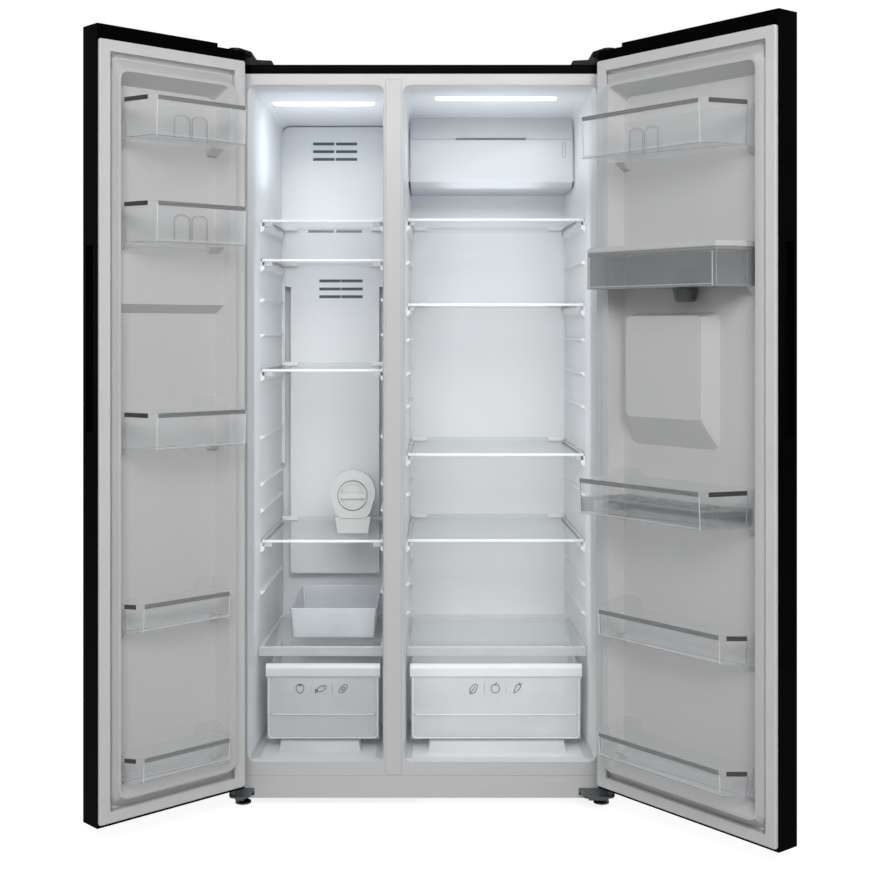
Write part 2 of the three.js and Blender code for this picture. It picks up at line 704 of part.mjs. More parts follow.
// The cover shelf over a drawer: a glass top in a frame with a deep front band.
function drawerCover(room) {
  const front = walls(room, COVER.front);
  const back = linerBack - COVER.back;
  const rear = walls(room, back);
  const top = coverTop;
  const plan = outline([
    [front.x0 + SHELF.side, COVER.front, 3],
    [front.x1 - SHELF.side, COVER.front, 3],
    [rear.x1 - SHELF.side, back],
    [rear.x0 + SHELF.side, back],
  ]);
  const plate = prism('z', plan, top - COVER.thickness, top, 1);
  const band = prism('x', outline([
    [COVER.front, top - COVER.band, 2],
    [COVER.front + COVER.bandDepth, top - COVER.band, 2],
    [COVER.front + COVER.bandDepth, top - 1],
    [COVER.front, top - 1],
  ]), front.x0 + SHELF.side, front.x1 - SHELF.side, 1);
  return union(plate, band);
}

// A drawer with a sloped back that clears the machine hump, on the raised floor.
function drawer(room) {
  const { wall, height, handle, step, humpGap } = DRAWER;
  const edge = walls(room, DRAWER.front);
  const x0 = edge.x0 + room.drawerGaps[0];
  const x1 = edge.x1 - room.drawerGaps[1];
  const bottom = platformTop + SEAT;
  const rim = bottom + height;
  const slope = (HUMP.foot - HUMP.shoulder) / HUMP.height;
  const behind = (z) => linerBack - HUMP.foot + (z - opening.bottom) * slope - humpGap * Math.hypot(1, slope);
  const side = (grow) => outline([
    [DRAWER.front + HANDLE.depth - 4 - grow, bottom + step + 3],
    [DRAWER.front + HANDLE.depth - grow, bottom + step],
    [DRAWER.front + HANDLE.depth + 3 - grow, bottom - grow, 8],
    [behind(bottom) + grow, bottom - grow, 10],
    [behind(rim - 12) + grow, rim - 12],
    [behind(rim - 12) + grow, rim + (grow < 0 ? THROUGH + handle : 0)],
    [DRAWER.front + HANDLE.depth - 4 - grow, rim + (grow < 0 ? THROUGH + handle : 0)],
  ]);
  const tub = cut(prism('x', side(0), x0, x1), prism('x', side(-wall), x0 + wall, x1 - wall));
  const grip = prism('x', outline([
    [DRAWER.front + 2, handleTop - HANDLE.band + 7, 4],
    [DRAWER.front + HANDLE.depth, handleTop - HANDLE.band],
    [DRAWER.front + HANDLE.depth + wall, handleTop - HANDLE.band],
    [DRAWER.front + HANDLE.depth + wall, handleTop],
    [DRAWER.front + 5, handleTop, 3],
    [DRAWER.front, handleTop - 10, 8],
  ]), x0 - 3, x1 + 3);
  return union(tub, grip);
}

function iceBin() {
  const { front, height, wall, draft } = ICE_BIN;
  const edge = walls(FREEZER, front);
  const x0 = edge.x0 + ICE_BIN.left;
  const x1 = edge.x1 - ICE_BIN.right;
  const back = linerBack - ICE_BIN.back;
  const bottom = Math.max(coverTop, humpTop) + SEAT;
  const ring = (inset) => rounded(x0 + inset, x1 - inset, front + inset, back - inset, 12 - inset / 2);
  const outer = loft('z', [[ring(draft), bottom], [ring(0), bottom + height]]);
  const inner = loft('z', [[ring(draft + wall), bottom + wall], [ring(wall), bottom + height + THROUGH]]);
  return cut(outer, inner);
}

// Twist ice maker, with a recess in its rounded front for the knob.
function iceMaker() {
  const { radius, axis, base, front, plate: gauge, inset } = ICE_MAKER;
  const centre = walls(FREEZER, front).x1 - inset;
  const back = coverFront - ICE_MAKER.rearGap;
  const bottom = iceShelf + SEAT;
  const middle = bottom + axis;
  const knob = middle - ICE_KNOB.drop;
  const skirt = outline([
    [centre - 0.7 * radius, bottom + base, 20],
    [centre + 0.7 * radius, bottom + base, 20],
    [centre + 0.99 * radius, middle - 0.14 * radius],
    [centre - 0.99 * radius, middle - 0.14 * radius],
  ]);
  const cover = union(
    prism('y', circle(centre, middle, radius, 28), front, front + gauge),
    prism('y', skirt, front, front + gauge, 4),
  );
  const footRing = (half) => rounded(centre - half, centre + half, front + 4, front + gauge, 5);
  const foot = loft('z', [[footRing(0.71 * radius), bottom], [footRing(0.82 * radius), bottom + base + 3]]);
  const half = ICE_TRAY.width / 2;
  const trayFront = front + gauge - 1;
  const tray = box(centre - half, centre + half, trayFront, back, bottom + base, bottom + ICE_TRAY.top);
  const [legLeft, legRight] = [centre - half + 6, centre + half - 6];
  const leg = box(legLeft, legRight, back - ICE_TRAY.leg, back - 4, bottom, bottom + base + 1);
  const dish = prism('y', circle(centre, knob, ICE_KNOB.radius + 3, 18), front - THROUGH, front + 5);
  const socket = prism('y', circle(centre, knob, 7), front, front + 22);
  return cut(union(cover, foot, tray, leg), dish, socket);
}

function iceMakerKnob() {
  const { front, axis, inset } = ICE_MAKER;
  const { radius, drop, bar: grip } = ICE_KNOB;
  const centre = walls(FREEZER, front).x1 - inset;
  const middle = iceShelf + SEAT + axis - drop;
  const face = prism('y', circle(centre, middle, radius, 18), front - 6, front + 5 - SEAT);
  const dish = prism('y', circle(centre, middle, radius - 5, 18), front - 8, front - 1);
  const reach = radius - 3;
  const outer = rounded(centre - reach, centre + reach, middle - grip / 2, middle + grip / 2, grip / 2 - 1);
  const bar = prism('y', outer, front - 9, front, 2);
  const stem = prism('y', circle(centre, middle, 6, 8), front, front + 20);
  return union(cut(face, dish), bar, stem);
}

// An air slot in a cover, split by a centre bar.
function slots(centre, half, z, height, bar, front) {
  return [-1, 1].map((side) => {
    const [a, b] = side < 0 ? [centre - half, centre - bar / 2] : [centre + bar / 2, centre + half];
    return prism('y', rounded(a, b, z - height / 2, z + height / 2), front - 4, front + 4);
  });
}

function freezerRearCover() {
  const { wall, head, side, lowerInset } = REAR_COVER;
  const step = level(REAR_COVER.step);
  const bottom = level(REAR_COVER.bottom);
  const front = coverFront;
  const back = linerBack - SEAT;
  const top = walls(FREEZER, back).z1 - head;
  const edge = walls(FREEZER, back);
  const x0 = edge.x0 + side;
  const x1 = edge.x1 - side;
  const tray = (grow, from, to) => {
    const upper = prism('y', rounded(x0 - grow, x1 + grow, step - grow, top + grow, 8), from, to, 1);
    const lower = prism(
      'y',
      rounded(x0 + lowerInset - grow, x1 - lowerInset + grow, bottom - grow, step + 20, 4),
      from,
      to,
      1,
    );
    return union(upper, lower);
  };
  const panel = rounded(x0 + lowerInset, x1 - lowerInset, bottom, step - 56, 4);
  const raised = prism('y', panel, front - 3, front + 1, 1);
  const centre = (x0 + x1) / 2;
  const vents = [
    ...[-37, -58, -79].flatMap((drop) => slots(centre, 60, top + drop, 8, 3, front)),
    ...slots(centre, 73, FREEZER.shelves[0] - 2, 7, 6, front),
    ...[16, -6, -27].flatMap((rise) => slots(centre + 16, 59, step + rise, 8, 1.5, front)),
  ];
  return cut(union(tray(0, front, back), raised), tray(-wall, front + wall, back + THROUGH), vents);
}

function fridgeAirDuct() {
  const { wall, side, lean, sole } = DUCT;
  const back = linerBack - SEAT;
  const front = linerBack - DUCT.depth;
  const ceiling = walls(FRIDGE, back).z1 - 1;
  const bottom = opening.top - DUCT.height;
  const crease = opening.top - DUCT.crease;
  const edge = walls(FRIDGE, front + lean);
  const rear = walls(FRIDGE, back);
  const profile = (grow) => outline([
    [front + sole - grow, bottom - grow, 8],
    [front + 2 - grow, bottom + 14, 6],
    [front - grow, crease],
    [front + lean - grow, ceiling + grow, 2],
    [back + (grow < 0 ? THROUGH : 0), ceiling + grow],
    [back + (grow < 0 ? THROUGH : 0), bottom - grow],
  ]);
  const sides = (inset) => loft('z', [0, 1].map((end) => [
    outline([
      [edge.x0 + side + inset, front - THROUGH],
      [edge.x1 - side - inset, front - THROUGH],
      [rear.x1 - side - inset, back + THROUGH],
      [rear.x0 + side + inset, back + THROUGH],
    ]),
    end ? ceiling + 20 : bottom - 20,
  ]));
  const shape = (grow) => prism('x', profile(grow), edge.x0, edge.x1).intersect(sides(-grow));
  const face = rounded(edge.x0 + side, edge.x1 - side, bottom - 40, ceiling, 16);
  const corners = prism('y', face, 0, back + THROUGH);
  const middle = (edge.x0 + edge.x1) / 2;
  const outlet = box(middle - 93, middle + 89, front - 10, front + 12, crease - 3, crease + 3);
  return cut(shape(0).intersect(corners), shape(-wall), outlet);
}

function light(room, { front, left, right }) {
  const back = front + LIGHT.depth;
  const { z1, x0, x1 } = walls(room, back);
  const shape = rounded(x0 + left, x1 - right, front, back, 5);
  const lens = rounded(x0 + left + 3, x1 - right - 3, front + 3, back - 3, 4);
  return loft('z', [[shape, z1 - SEAT], [shape, z1 - SEAT - 2], [lens, z1 - SEAT - LIGHT.height]], 1);
}

// Finned coil behind the freezer rear cover, clipped to the liner's back wall.
function evaporator() {
  const { fins, fin, tube, rows, depth, side } = EVAPORATOR;
  const bottom = level(EVAPORATOR.bottom);
  const top = level(EVAPORATOR.top);
  const back = linerBack - SEAT;
  const front = back - depth;
  const edge = walls(FREEZER, back);
  const x0 = edge.x0 + side;
  const x1 = edge.x1 - side;
  const plates = Array.from({ length: fins }, (_, i) => {
    const x = x0 + 12 + ((x1 - x0 - 24) * i) / (fins - 1);
    return box(x - fin / 2, x + fin / 2, front, back, bottom, top);
  });
  const passes = Array.from({ length: rows }, (_, i) => {
    const z = bottom + 30 + ((top - bottom - 60) * i) / (rows - 1);
    return prism('x', circle((front + back) / 2, z, tube, 6), x0, x1);
  });
  const straps = [x0 - 1, x1 - 5].map((x) => box(x, x + 6, (front + back) / 2, back, bottom + 20, top - 20));
  return union(plates, passes, straps);
}

// ---------------------------------------------------------------- doors

// Places along a closed door: u runs from the gasket's hinge edge to the free side.
function along(side, u) {
  return side * (gasketHingeX - u);
}

function plate(side, u0, u1, z0, z1, radius) {
  const a = along(side, u0);
  const b = along(side, u1);
  return rounded(Math.min(a, b), Math.max(a, b), z0, z1, radius);
}

const LEFT_DOOR = { side: -1, width: halfWidth - SPLIT - DOOR.gap / 2, angle: -OPEN_ANGLE.left };
const RIGHT_DOOR = { side: 1, width: halfWidth + SPLIT - DOOR.gap / 2, angle: OPEN_ANGLE.right };

for (const door of [LEFT_DOOR, RIGHT_DOOR]) {
  const edge = door.side < 0 ? mullionLeft : mullionRight;
  door.hingeEdge = -GASKET.hingeInset; // slab edges, along the door
  door.freeEdge = door.width - GASKET.hingeInset;
  door.gasketEnd = door.freeEdge - GASKET.freeInset;
  door.mouth0 = gasketHingeX - opening.side; // where the cabinet opening starts and ends
  door.mouth1 = gasketHingeX - door.side * edge;
}

// The raised rim of a door liner: outer foot, top and inner edge, and the pan floor inside it.
function dikeRings(door) {
  const base = slabBack;
  const crest = GASKET.face + DIKE.height;
  const share = (0 - base) / (crest - base);
  const spread = DIKE.outerDraft * share;
  const low = opening.bottom + OPENING_CLEARANCE;
  const high = opening.top - OPENING_CLEARANCE;
  const lean = DIKE.outerDraft * 2.6;
  return {
    base: [
      door.mouth0 + OPENING_CLEARANCE - spread,
      Math.min(door.mouth1 - OPENING_CLEARANCE + spread, door.gasketEnd - GASKET.width),
      low - lean * share,
      high + lean * share,
    ],
    crest: [
      door.mouth0 + OPENING_CLEARANCE - spread + DIKE.outerDraft,
      door.mouth1 - OPENING_CLEARANCE + spread - DIKE.outerDraft,
      low - lean * share + lean,
      high + lean * share - lean,
    ],
  };
}

function doorLiner(door) {
  const { side } = door;
  const { base, crest } = dikeRings(door);
  const crestY = GASKET.face + DIKE.height;
  const inside = (ring, inset) => [ring[0] + inset, ring[1] - inset, ring[2] + inset, ring[3] - inset];
  const pan = inside(crest, DIKE.rim);
  pan[0] = crest[0] + DIKE.hingeRim;
  const floor = inside(pan, DIKE.innerDraft);
  floor[1] = pan[1] - DIKE.rim;
  floor[2] = pan[2] + 18;
  floor[3] = pan[3] - 24;
  const skin = DOOR.skin + SEAT;
  const core = slab(door, skin, notchTop);
  const throat = prism('y', throatPlate(door, SEAT), slabBack - 2 * skin, slabBack);
  const ring = (r, radius) => plate(side, ...r, radius);
  const dike = loft('y', [
    [ring(base, DIKE.radius), slabBack - skin],
    [ring(base, DIKE.radius), slabBack],
    [ring(crest, DIKE.radius), crestY],
  ]);
  const well = loft('y', [
    [ring(floor, DIKE.radius), panFloor],
    [ring(pan, DIKE.radius - DIKE.rim), crestY],
    [ring(pan, DIKE.radius - DIKE.rim), crestY + THROUGH],
  ]);
  const hollow = pinHoles(side, SEAT);
  const grip = gripPocket(door, GRIP.wall + SEAT);
  return { body: cut(union(core, throat, dike), well, hollow, grip), pan, floor };
}

// The opening in the shell's inner face that the liner fills.
function throatPlate(door, inset) {
  return plate(
    door.side,
    4 + inset,
    door.gasketEnd - 4 - inset,
    gasketBottom + 4 + inset,
    gasketTop - 4 - inset,
    6,
  );
}

function pinHoles(side, grow) {
  const radius = HINGE.pin + HINGE.pinFit + grow;
  const x = side * hingeX;
  const reach = HINGE.pinReach + 3 + grow;
  return [
    pin(x, -HINGE.setBack, radius, DOOR.bottom - THROUGH, DOOR.bottom + reach),
    pin(x, -HINGE.setBack, radius, notchTop - reach, notchTop + THROUGH + 8),
  ];
}

// The finger recess in the free edge of a door.
function gripPocket(door, grow) {
  const edge = along(door.side, door.freeEdge);
  const front = slabFront + GRIP.front;
  const deep = (d) => edge + door.side * (d + grow);
  const out = edge - door.side * (grow > 0 ? 0 : THROUGH);
  const plan = outline([
    [out, front - grow],
    [deep(GRIP.depth - 2), front - grow, 4],
    [deep(GRIP.depth), front + GRIP.width * 0.6, 4],
    [deep(4), front + GRIP.width + grow, 3],
    [out, front + GRIP.width + grow],
  ]);
  return prism('z', plan, level(GRIP.bottom) - grow, level(GRIP.top) + grow);
}

// A door's slab, every face moved in by inset.
function slab(door, inset, top) {
  const a = along(door.side, door.hingeEdge + inset);
  const b = along(door.side, door.freeEdge - inset);
  const radius = DOOR.cornerRadius - inset;
  const plan = outline([
    [a, slabBack - inset],
    [a, slabFront + inset, radius],
    [b, slabFront + inset, radius],
    [b, slabBack - inset],
  ]);
  return prism('z', plan, DOOR.bottom + inset, top - inset, 2);
}

function doorShell(door) {
  const { side, hingeEdge } = door;
  const { skin, notch } = DOOR;
  const corner = (drop, reach) => {
    const a = along(side, hingeEdge - THROUGH);
    const b = along(side, hingeEdge + notch + reach);
    const plan = rounded(Math.min(a, b), Math.max(a, b), slabFront - THROUGH, slabBack + THROUGH);
    return prism('z', plan, notchTop - drop, doorTop + THROUGH);
  };
  const outer = cut(slab(door, 0, doorTop), corner(0, 0));
  const hollow = cut(slab(door, skin, doorTop), corner(skin, skin));
  const mouth = prism('y', throatPlate(door, 0), slabBack - THROUGH - skin, slabBack + THROUGH);
  const grip = gripPocket(door, GRIP.wall).intersect(slab(door, 0, doorTop));
  return cut(union(cut(outer, hollow, mouth), grip), gripPocket(door, 0), pinHoles(side, 0));
}

function gasket(door) {
  const { face, thickness, bulb, width, hingeNarrower, hingeReach, flap, radius } = GASKET;
  const ring = (inset, hingeInset = inset - hingeReach) =>
    plate(
      door.side,
      hingeInset,
      door.gasketEnd - inset,
      gasketBottom + inset,
      gasketTop - inset,
      Math.max(2, radius - inset / 2),
    );
  const inner = (inset) => ring(inset, inset - hingeNarrower);
  const seat = face - thickness;
  const block = loft('y', [[ring(0.8), seat], [ring(0), seat + 3], [ring(0), face - 2.5], [ring(2), face]]);
  const flapRing = prism('y', inner(bulb - 2), seat, seat + flap);
  const hole = prism('y', inner(bulb), seat - THROUGH, face + THROUGH);
  const flapHole = prism('y', inner(width - 1), seat - THROUGH, face + THROUGH);
  return union(cut(block, hole), cut(flapRing, flapHole));
}

// ---------------------------------------------------------------- door bins

// Plan of a bin across the closed door: hinge end, free end with its slanted corner, and front.
function binPlan(side, bin, inset) {
  const back = BIN.back + inset;
  const front = bin.depth - inset + GASKET.face;
  return outline(
    [
      [bin.hinge + inset, back, 0],
      [bin.free - 6 - inset, back, 0],
      [bin.free - inset, DIKE.height, 0],
      [bin.corner - inset, front, 14 - inset],
      [bin.hinge - bin.over + inset, front, 14 - inset],
    ].map(([u, y, radius]) => [along(side, u), y, radius]),
  );
}

function doorBin(side, bin) {
  const { wall, draft, bead, beadOut, tabWidth } = BIN;
  const outer = loft('z', [
    [binPlan(side, bin, draft), bin.floor],
    [binPlan(side, bin, draft * 0.6), bin.floor + 8],
    [binPlan(side, bin, 0), bin.rim],
  ]);
  const inner = loft('z', [
    [binPlan(side, bin, draft + wall), bin.floor + wall],
    [binPlan(side, bin, wall), bin.rim + THROUGH],
  ]);
  const rimBand = cut(
    prism('z', binPlan(side, bin, -beadOut), bin.rim - bead, bin.rim),
    prism('z', binPlan(side, bin, wall / 2), bin.rim - bead - THROUGH, bin.rim + THROUGH),
    box(-halfWidth, halfWidth, -60, DIKE.height, 0, CABINET.top),
  );
  const body = union(cut(outer, inner), rimBand);
  if (!bin.tab) return body;
  const root = bin.rim - 12;
  const crown = bin.rim + bin.tab;
  const tabFace = plate(side, bin.hinge + 1, bin.hinge + tabWidth, root, crown, 12);
  const tab = prism('y', tabFace, BIN.back, BIN.back + wall);
  const ear = outline([
    [BIN.back, root],
    [DIKE.height + 14, root],
    [DIKE.height + 8, bin.rim + bin.tab * 0.4, 10],
    [BIN.back + 10, crown, 12],
    [BIN.back, crown],
  ]);
  const [a, b] = [along(side, bin.hinge - bin.over), along(side, bin.hinge + 2 * wall)];
  const end = cut(
    prism('z', binPlan(side, bin, 0), root, crown),
    prism('z', binPlan(side, bin, wall), root - THROUGH, crown + THROUGH),
  );
  const cheek = end.intersect(prism('x', ear, Math.min(a, b), Math.max(a, b)));
  return union(body, tab, cheek);
}

// Ledges on the door liner that a bin stands on, one at each end.
function ledges(side, bin, pan) {
  const top = bin.floor - SEAT;
  return [
    [pan[0] - 4, bin.hinge + 14],
    [bin.free - 14, pan[1] + 4],
  ].map(([u0, u1]) => {
    const a = along(side, u0);
    const b = along(side, u1);
    const [x0, x1] = [Math.min(a, b), Math.max(a, b)];
    return loft('z', [
      [rounded(x0, x1, panFloor - 2, panFloor + 6), top - 16],
      [rounded(x0, x1, panFloor - 2, panFloor + 24), top],
    ]);
  });
}

// Each bin: the level it stands at, its height and depth, its hinge end, how far its free end and front
// corner stop short of the opening's edge, to clear the frame as the door swings, and its tab's height.
const hang = (door, bins) =>
  bins.map((bin) => ({
    ...bin,
    floor: level(bin.level),
    rim: level(bin.level) + bin.height,
    free: door.mouth1 - bin.freeGap,
    corner: door.mouth1 - bin.cornerGap,
  }));
// How far a bin's free end and its front corner stop short of the liner's free side.
const LEFT_ENDS = { freeGap: 23, cornerGap: 43 };
const RIGHT_ENDS = { freeGap: 34.4, cornerGap: 67.4 };
const LEFT_BINS = hang(LEFT_DOOR, [
  { level: 0.8954, height: 85, depth: 104, hinge: 76, over: 26, ...LEFT_ENDS, tab: 0 },
  { level: 0.755, height: 86, depth: 104, hinge: 76, over: 26, ...LEFT_ENDS, tab: 0 },
  { level: 0.4787, height: 79, depth: 104, hinge: 76, over: 26, ...LEFT_ENDS, tab: 24 },
  { level: 0.2345, height: 60, depth: 56, hinge: 70, over: 11, ...LEFT_ENDS, tab: 24 },
  { level: 0.0344, height: 52, depth: 56, hinge: 70, over: 11, ...LEFT_ENDS, tab: 24 },
]);
const [RIGHT_BIN_1, EGG_BIN, RIGHT_BIN_3, RIGHT_BIN_4] = hang(RIGHT_DOOR, [
  { level: 0.8759, height: 91, depth: 122, hinge: 71, over: 18, ...RIGHT_ENDS, tab: 0 },
  { level: 0.3831, height: 79, depth: 122, hinge: 71, over: 27, ...RIGHT_ENDS, tab: 16 },
  { level: 0.2081, height: 61, depth: 64, hinge: 68, over: 25, ...RIGHT_ENDS, tab: 24 },
  { level: 0.0394, height: 54, depth: 64, hinge: 68, over: 25, ...RIGHT_ENDS, tab: 24 },
]);
const TANK = {
  floor: nicheTop + 57,
  rim: nicheTop + 57 + 81,
  depth: 92,
  hinge: 44,
  foot: 68,
  free: RIGHT_BIN_1.free,
  corner: RIGHT_DOOR.mouth1 - 58.4,
  lid: 11,
};

function eggTray() {
  const top = EGG_BIN.floor + BIN.wall + SEAT + 36;
  const inset = BIN.wall + BIN.draft + 1.5;
  const deck = prism('z', binPlan(1, EGG_BIN, inset), top - 3, top);
  const skirt = cut(
    prism('z', binPlan(1, EGG_BIN, inset), EGG_BIN.floor + BIN.wall + SEAT, top),
    prism('z', binPlan(1, EGG_BIN, inset + 2), 0, top + THROUGH),
    box(-halfWidth, halfWidth, 10, 80, 0, top - 12),
  );
  const cups = [];
  const pitch = (EGG_BIN.corner - EGG_BIN.hinge - 82) / 5;
  for (const row of [16, 68]) {
    for (let i = 0; i < 6; i += 1) {
      cups.push(pin(along(1, EGG_BIN.hinge + 38 + i * pitch), row, 20, top - 8, top + 4, 8));
    }
  }
  return cut(union(deck, skirt), cups);
}

// Plan of the tank: it reaches over the liner's rim on the hinge side.
function tankPlan(inset) {
  const { depth, hinge, foot: root, corner, free } = TANK;
  const back = BIN.back + inset;
  const front = depth - inset;
  const ridge = DIKE.height + SEAT + inset;
  return outline(
    [
      [root + inset, back],
      [free - 6 - inset, back],
      [free - inset, DIKE.height],
      [corner - inset, front, 14 - inset],
      [hinge + 4 + inset, front, 14 - inset],
      [hinge + inset, ridge],
      [root + inset, ridge],
    ].map(([u, y, radius]) => [along(1, u), y, radius]),
  );
}

function waterTank() {
  const outer = prism('z', tankPlan(0), TANK.floor, TANK.rim);
  const inner = prism('z', tankPlan(BIN.wall), TANK.floor + BIN.wall, TANK.rim + THROUGH);
  const [x, y] = [along(1, TAP.along), GASKET.face + TAP.out];
  const hole = pin(x, y, TAP.stem + SEAT, TANK.floor - THROUGH, TANK.floor + 9, 12);
  return cut(outer, inner, hole);
}

function tankLid() {
  const low = TANK.rim + SEAT;
  const step = low + TANK.lid - 4;
  const top = union(prism('z', tankPlan(0), low, step), prism('z', tankPlan(4), step - 1, low + TANK.lid));
  const rim = cut(
    prism('z', tankPlan(BIN.wall + SEAT), low - 6, low + 1),
    prism('z', tankPlan(BIN.wall + SEAT + 3), low - 8, low),
  );
  const middle = along(1, (TANK.hinge + TANK.corner) / 2);
  const flap = rounded(middle - 55, middle + 55, 30, 76, 10);
  const filler = prism('z', flap, low + TANK.lid - 2, low + TANK.lid + 2);
  return union(top, rim, filler);
}

// ---------------------------------------------------------------- water dispenser

function nicheRing(inset) {
  const { centre, width } = DISPENSER;
  const half = width / 2 - inset;
  const round = NICHE.radius - inset / 2;
  return plate(1, centre - half, centre + half, nicheBottom + inset, nicheTop - inset, round);
}

function nicheTub(grow) {
  return loft('y', [
    [nicheRing(-grow), slabFront - THROUGH],
    [nicheRing(NICHE.taper - grow), NICHE.back + grow],
  ]);
}

function dispenserNiche() {
  const face = slabFront - SEAT - BEZEL.proud;
  const flange = prism('y', nicheRing(-BEZEL.margin), face, slabFront - SEAT);
  const tub = nicheTub(0).intersect(box(-halfWidth, halfWidth, face, NICHE.back, 0, doorTop));
  const inside = loft('y', [
    [nicheRing(NICHE.wall), slabFront - 4],
    [nicheRing(NICHE.taper + NICHE.wall), NICHE.back - NICHE.wall],
  ]);
  const x = along(1, DISPENSER.centre);
  const floor = nicheBottom;
  const ceiling = nicheTop - NICHE.wall;
  const pivot = nicheTop - PADDLE.drop;
  const lugs = [-1, 1].map((end) => {
    const inner = PADDLE.width / 2 + SEAT;
    const [a, b] = end < 0 ? [x - inner - 5, x - inner] : [x + inner, x + inner + 5];
    return prism('x', outline([
      [PADDLE.out - 8, pivot - 7, 6],
      [PADDLE.out + 8, pivot - 7, 6],
      [PADDLE.out + 10, ceiling + 2],
      [PADDLE.out - 10, ceiling + 2],
    ]), a, b);
  });
  const bore = prism('x', circle(PADDLE.out, pivot, PADDLE.pin + SEAT, 8), x - 60, x + 60);
  const spoutHole = pin(x, SPOUT.out, WATER_WAY.tube + SEAT, ceiling - 10, nicheTop + 20);
  const grille = [0, 1, 2, 3, 4].map((i) =>
    box(x - 60, x + 60, slabFront + 12 + i * 11, slabFront + 17 + i * 11, floor + 1, floor + 12).intersect(
      box(x - 60, x + 60, slabFront + 8, NICHE.back - 8, floor + 4, floor + 12),
    ),
  );
  const drip = box(x - 70, x + 70, slabFront + 6, NICHE.back - 14, floor, floor + 8);
  const fittings = union(lugs, drip).intersect(tub);
  return cut(union(flange, cut(tub, inside), fittings), bore, spoutHole, grille);
}

function dispenserPaddle() {
  const { width, thickness, length, drop, out, barrel, pin: radius } = PADDLE;
  const pivot = nicheTop - drop;
  const x = along(1, DISPENSER.centre);
  const half = width / 2;
  const face = outline([
    [x - half, pivot],
    [x - half + 4, pivot - length, 10],
    [x + half - 4, pivot - length, 10],
    [x + half, pivot],
  ]);
  const blade = prism('y', face, out - thickness / 2, out + thickness / 2);
  const knuckle = prism('x', circle(out, pivot, barrel, 10), x - half, x + half);
  const axle = prism('x', circle(out, pivot, radius, 8), x - half - 5, x + half + 5);
  return union(blade, knuckle, axle);
}

// The water way from the tap through the door's foam to the spout over the niche.
function waterWay(grow) {
  const { along: start, out } = TAP;
  const radius = WATER_WAY.tube + grow;
  const height = TANK.floor - WATER_WAY.drop;
  const x0 = along(1, start);
  const x1 = along(1, DISPENSER.centre);
  return union(
    prism('y', circle(x0, height, radius, 6), SPOUT.out - radius, out),
    prism('x', circle(SPOUT.out, height, radius, 6), x0 - radius, x1 + radius),
    pin(x1, SPOUT.out, radius, nicheTop - SPOUT.reach - grow, height + radius * 0.85, 6),
  );
}

function dispenserTap() {
  const { along: u, out, cup, drop, nut, nutHeight, stem } = TAP;
  const floor = TANK.floor - SEAT;
  const low = TANK.floor - drop;
  const nutTop = TANK.floor + nutHeight;
  const seat = TANK.floor + BIN.wall + SEAT;
  const body = turned(along(1, u), GASKET.face + out, [
    [0, low],
    [cup * 0.72, low],
    [cup * 0.86, low + 6],
    [cup, floor],
    [stem, floor],
    [stem, seat],
    [nut, seat],
    [nut, seat + 8],
    [nut - 4, seat + 8],
    [nut - 4, nutTop],
    [0, nutTop],
  ], 12);
  return union(body, waterWay(0));
}

function rightDoorBulge() {
  const { face, side, hingeSide, drop, sweep, flank, radius } = BULGE;
  const { centre, width } = DISPENSER;
  const left = centre - width / 2 - hingeSide;
  const right = centre + width / 2 + side;
  const foot = nicheBottom - drop;
  const base = plate(1, left - 14, right + flank, foot - sweep, nicheTop + 5, radius + 6);
  const crown = plate(1, left, right, foot, nicheTop - 2, radius);
  return loft('y', [[base, panFloor - 1], [crown, GASKET.face + face]]);
}

function leftDoorStep(pan) {
  const { face, slope } = STEP;
  const bottom = level(STEP.bottom);
  const top = level(STEP.top);
  const base = plate(-1, pan[0] + 2, pan[1] - 2, bottom, top, 4);
  const crown = plate(-1, pan[0] + 2, pan[1] - 2, bottom + slope, top - slope, 4);
  return loft('y', [[base, panFloor - 1], [crown, GASKET.face + face]]);
}

// ---------------------------------------------------------------- assembly

function buildDoor(door, meshes) {
  const group = new THREE.Group();
  group.position.set(door.side * hingeX, -HINGE.setBack, 0);
  group.rotation.z = THREE.MathUtils.degToRad(door.angle);
  const closed = new THREE.Group();
  closed.position.copy(group.position).negate();
  closed.add(...meshes);
  group.add(closed);
  return group;
}

function leftDoor() {
  const door = LEFT_DOOR;
  const made = doorLiner(door);
  const ribs = LEFT_BINS.flatMap((bin) => ledges(door.side, bin, made.pan));
  const body = union(made.body, leftDoorStep(made.pan), ribs);
  return buildDoor(door, [
    mesh('left_door_shell', doorShell(door), BLACK_GLOSS),
    mesh('left_door_liner', body, LINER_WHITE),
    mesh('left_door_gasket', gasket(door), GASKET_GREY),
    ...LEFT_BINS.map((bin, i) => mesh(`left_bin_${i + 1}`, doorBin(door.side, bin), CLEAR)),
  ]);
}

